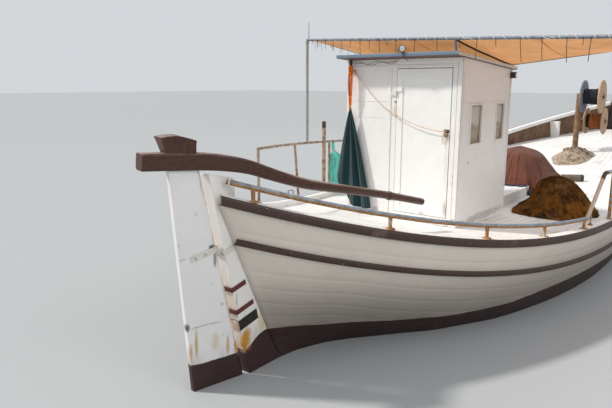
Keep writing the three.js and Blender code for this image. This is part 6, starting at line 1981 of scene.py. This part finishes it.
beige_wood = flange_wood("beige_flange_wood", (0.56, 0.38, 0.25, 1), (0.36, 0.22, 0.13, 1))
blue_wood = flange_wood("grey_blue_flange_wood", (0.24, 0.27, 0.34, 1), (0.13, 0.13, 0.16, 1))


def wound(name, first, second, share, tail=-0.6):
    material, tree, shader, where = fresh_material(name)
    along_y = split(tree, where)[1]
    strand = speckle(tree, stretched(tree, where, (3, 26, 3)), 6.0, 6.0, 0.6)
    fine = speckle(tree, where, 120.0, 4.0, 0.7)
    lay = sloped(tree, strand, 0.05, along_y)
    part = reckon(
        tree, "MAXIMUM", between(tree, lay, share - 0.006, share + 0.006),
        between(tree, lay, tail + 0.006, tail - 0.006)
    )
    colour = tinted(tree, part, first, second)
    colour = tinted(
        tree, between(tree, strand, 0.52, 0.7), colour,
        (0.1, 0.12, 0.19, 1) if first[0] < 0.1 and second[0] < 0.1 else (0.1, 0.035, 0.01, 1)
    )
    colour = tinted(tree, times(tree, between(tree, fine, 0.5, 0.7), 0.35), colour, (0.02, 0.015, 0.012, 1))
    wired(tree, shader, {"Base Color": colour, "Roughness": 0.85})
    raised(tree, shader, fine, 0.0012)
    return material


navy_rope = wound("navy_wound_rope", (0.01, 0.011, 0.016, 1), (0.012, 0.016, 0.03, 1), -0.3)
orange_wound = wound("orange_wound_rope", (0.36, 0.11, 0.022, 1), (0.012, 0.01, 0.01, 1), -0.235, -0.455)
for word, x, z, flange_r, rope_r, rope_paint in (
    ("upper", 4.56, 2.09, 0.312, 0.15, navy_rope), ("lower", 4.94, 1.61, 0.258, 0.152, orange_wound)
):
    centre = Vector((x, 0, z))
    for end, y in (("inner", -0.202), ("outer", -0.526)):
        rim = [
            (0.021, 0.0), (0.06, 0.0), (flange_r - 0.003, 0.0), (flange_r, 0.003), (flange_r, 0.022),
            (flange_r - 0.003, 0.026), (0.021, 0.026)
        ]
        disc = turned("disc", rim, centre + Vector((0, y, 0)), (0, 1, 0), 64)
        bolts = []
        for k in range(4):
            turn = pi * (0.25 + 0.5 * k)
            spot = centre + Vector((0.085 * cos(turn), y - 0.0005, 0.085 * sin(turn)))
            bolts.append(turned("bolt", [(0.011, 0), (0.01, 0.004), (0.006, 0.005)], spot, (0, -1, 0), 6))
        wood = blue_wood if (word, end) == ("upper", "inner") else beige_wood
        nodes = (f"rope_reel_{word}",) if end == "outer" else ()
        dressed(disc, wood, f"{word}_reel", *nodes, slot="rope" if nodes else None)
        hub = turned(
            "hub", [(0.0212, 0.0), (0.034, 0.0), (0.034, 0.003), (0.0212, 0.0035)],
            centre + Vector((0, y - 0.0005, 0)), (0, -1, 0), 24
        )
        disc.name = f"{word}_reel_{end}_flange"
        dressed(joined(f"{word}_reel_{end}_bolts", bolts + [hub]), dark_iron, f"{word}_reel")
    profile = [(0.0215, -0.4995)]
    for k in range(31):
        y = -0.4985 + 0.0094 * (k + 0.5)
        layer = 0.004 * lump(k * 0.7, z, 0) - 0.006 * (k > 27)
        for shift, rise in ((-0.0042, -0.0048), (-0.0025, -0.0012), (0.0, 0.0), (0.0025, -0.0012)):
            profile.append((rope_r - 0.006 + rise + layer, y + shift))
    profile.append((0.0215, -0.2045))
    windings = turned(f"{word}_reel_windings", profile, centre, (0, 1, 0), 72)
    dressed(windings, rope_paint, f"{word}_reel")
    rng = random.Random(int(z * 100))
    crossing = []
    for _ in range(7):
        y0, angle = rng.uniform(-0.46, -0.26), rng.uniform(0, 6.28)
        slope = rng.uniform(-0.05, 0.05)
        path = []
        for k in range(16):
            turn = angle + k * 0.13
            path.append(
                centre + Vector((rope_r * cos(turn), min(max(y0 + slope * k / 4, -0.49), -0.215), rope_r * sin(turn)))
            )
        crossing.append(tube("turn", path, 0.0046, 8))
    dressed(joined(f"{word}_reel_crossing_turns", crossing), rope_paint, f"{word}_reel")

# Timber heads: squared oak posts that stand against the bulwark on each side of the foredeck, painted white.
# The bulwark's inner side is bare of white, stained brown by gear and tar.
head_paint = painted(
    "timber_head_paint", (0.72, 0.7, 0.67, 1), grime=(0.4, 0.34, 0.27, 1), below=(0.3, 0.2, 0.12, 1),
    shares=(0.6, 0.4, 0.4), rough=0.55
)
for word in ("port", "starboard"):
    carried_over(f"timber_head_board_{word}", f"timber_head_{word}", 0.006, head_paint, "hull", "white_paint", 3)
bulwark_brown = painted(
    "bulwark_brown", (0.16, 0.085, 0.045, 1), grime=(0.05, 0.03, 0.02, 1), streak=(0.3, 0.2, 0.12, 1),
    below=(0.4, 0.33, 0.26, 1), shares=(0.8, 0.6, 0.5), rough=0.75,
)
for word, side in SIDES:
    planking = bpy.data.objects[f"planking_{word}"].data
    planking.materials.append(bulwark_brown)
    for face in planking.polygons:
        if face.center.x > 1.0 and face.normal.y * side < -0.2 and face.center.z > 0.72:
            face.material_index = 1
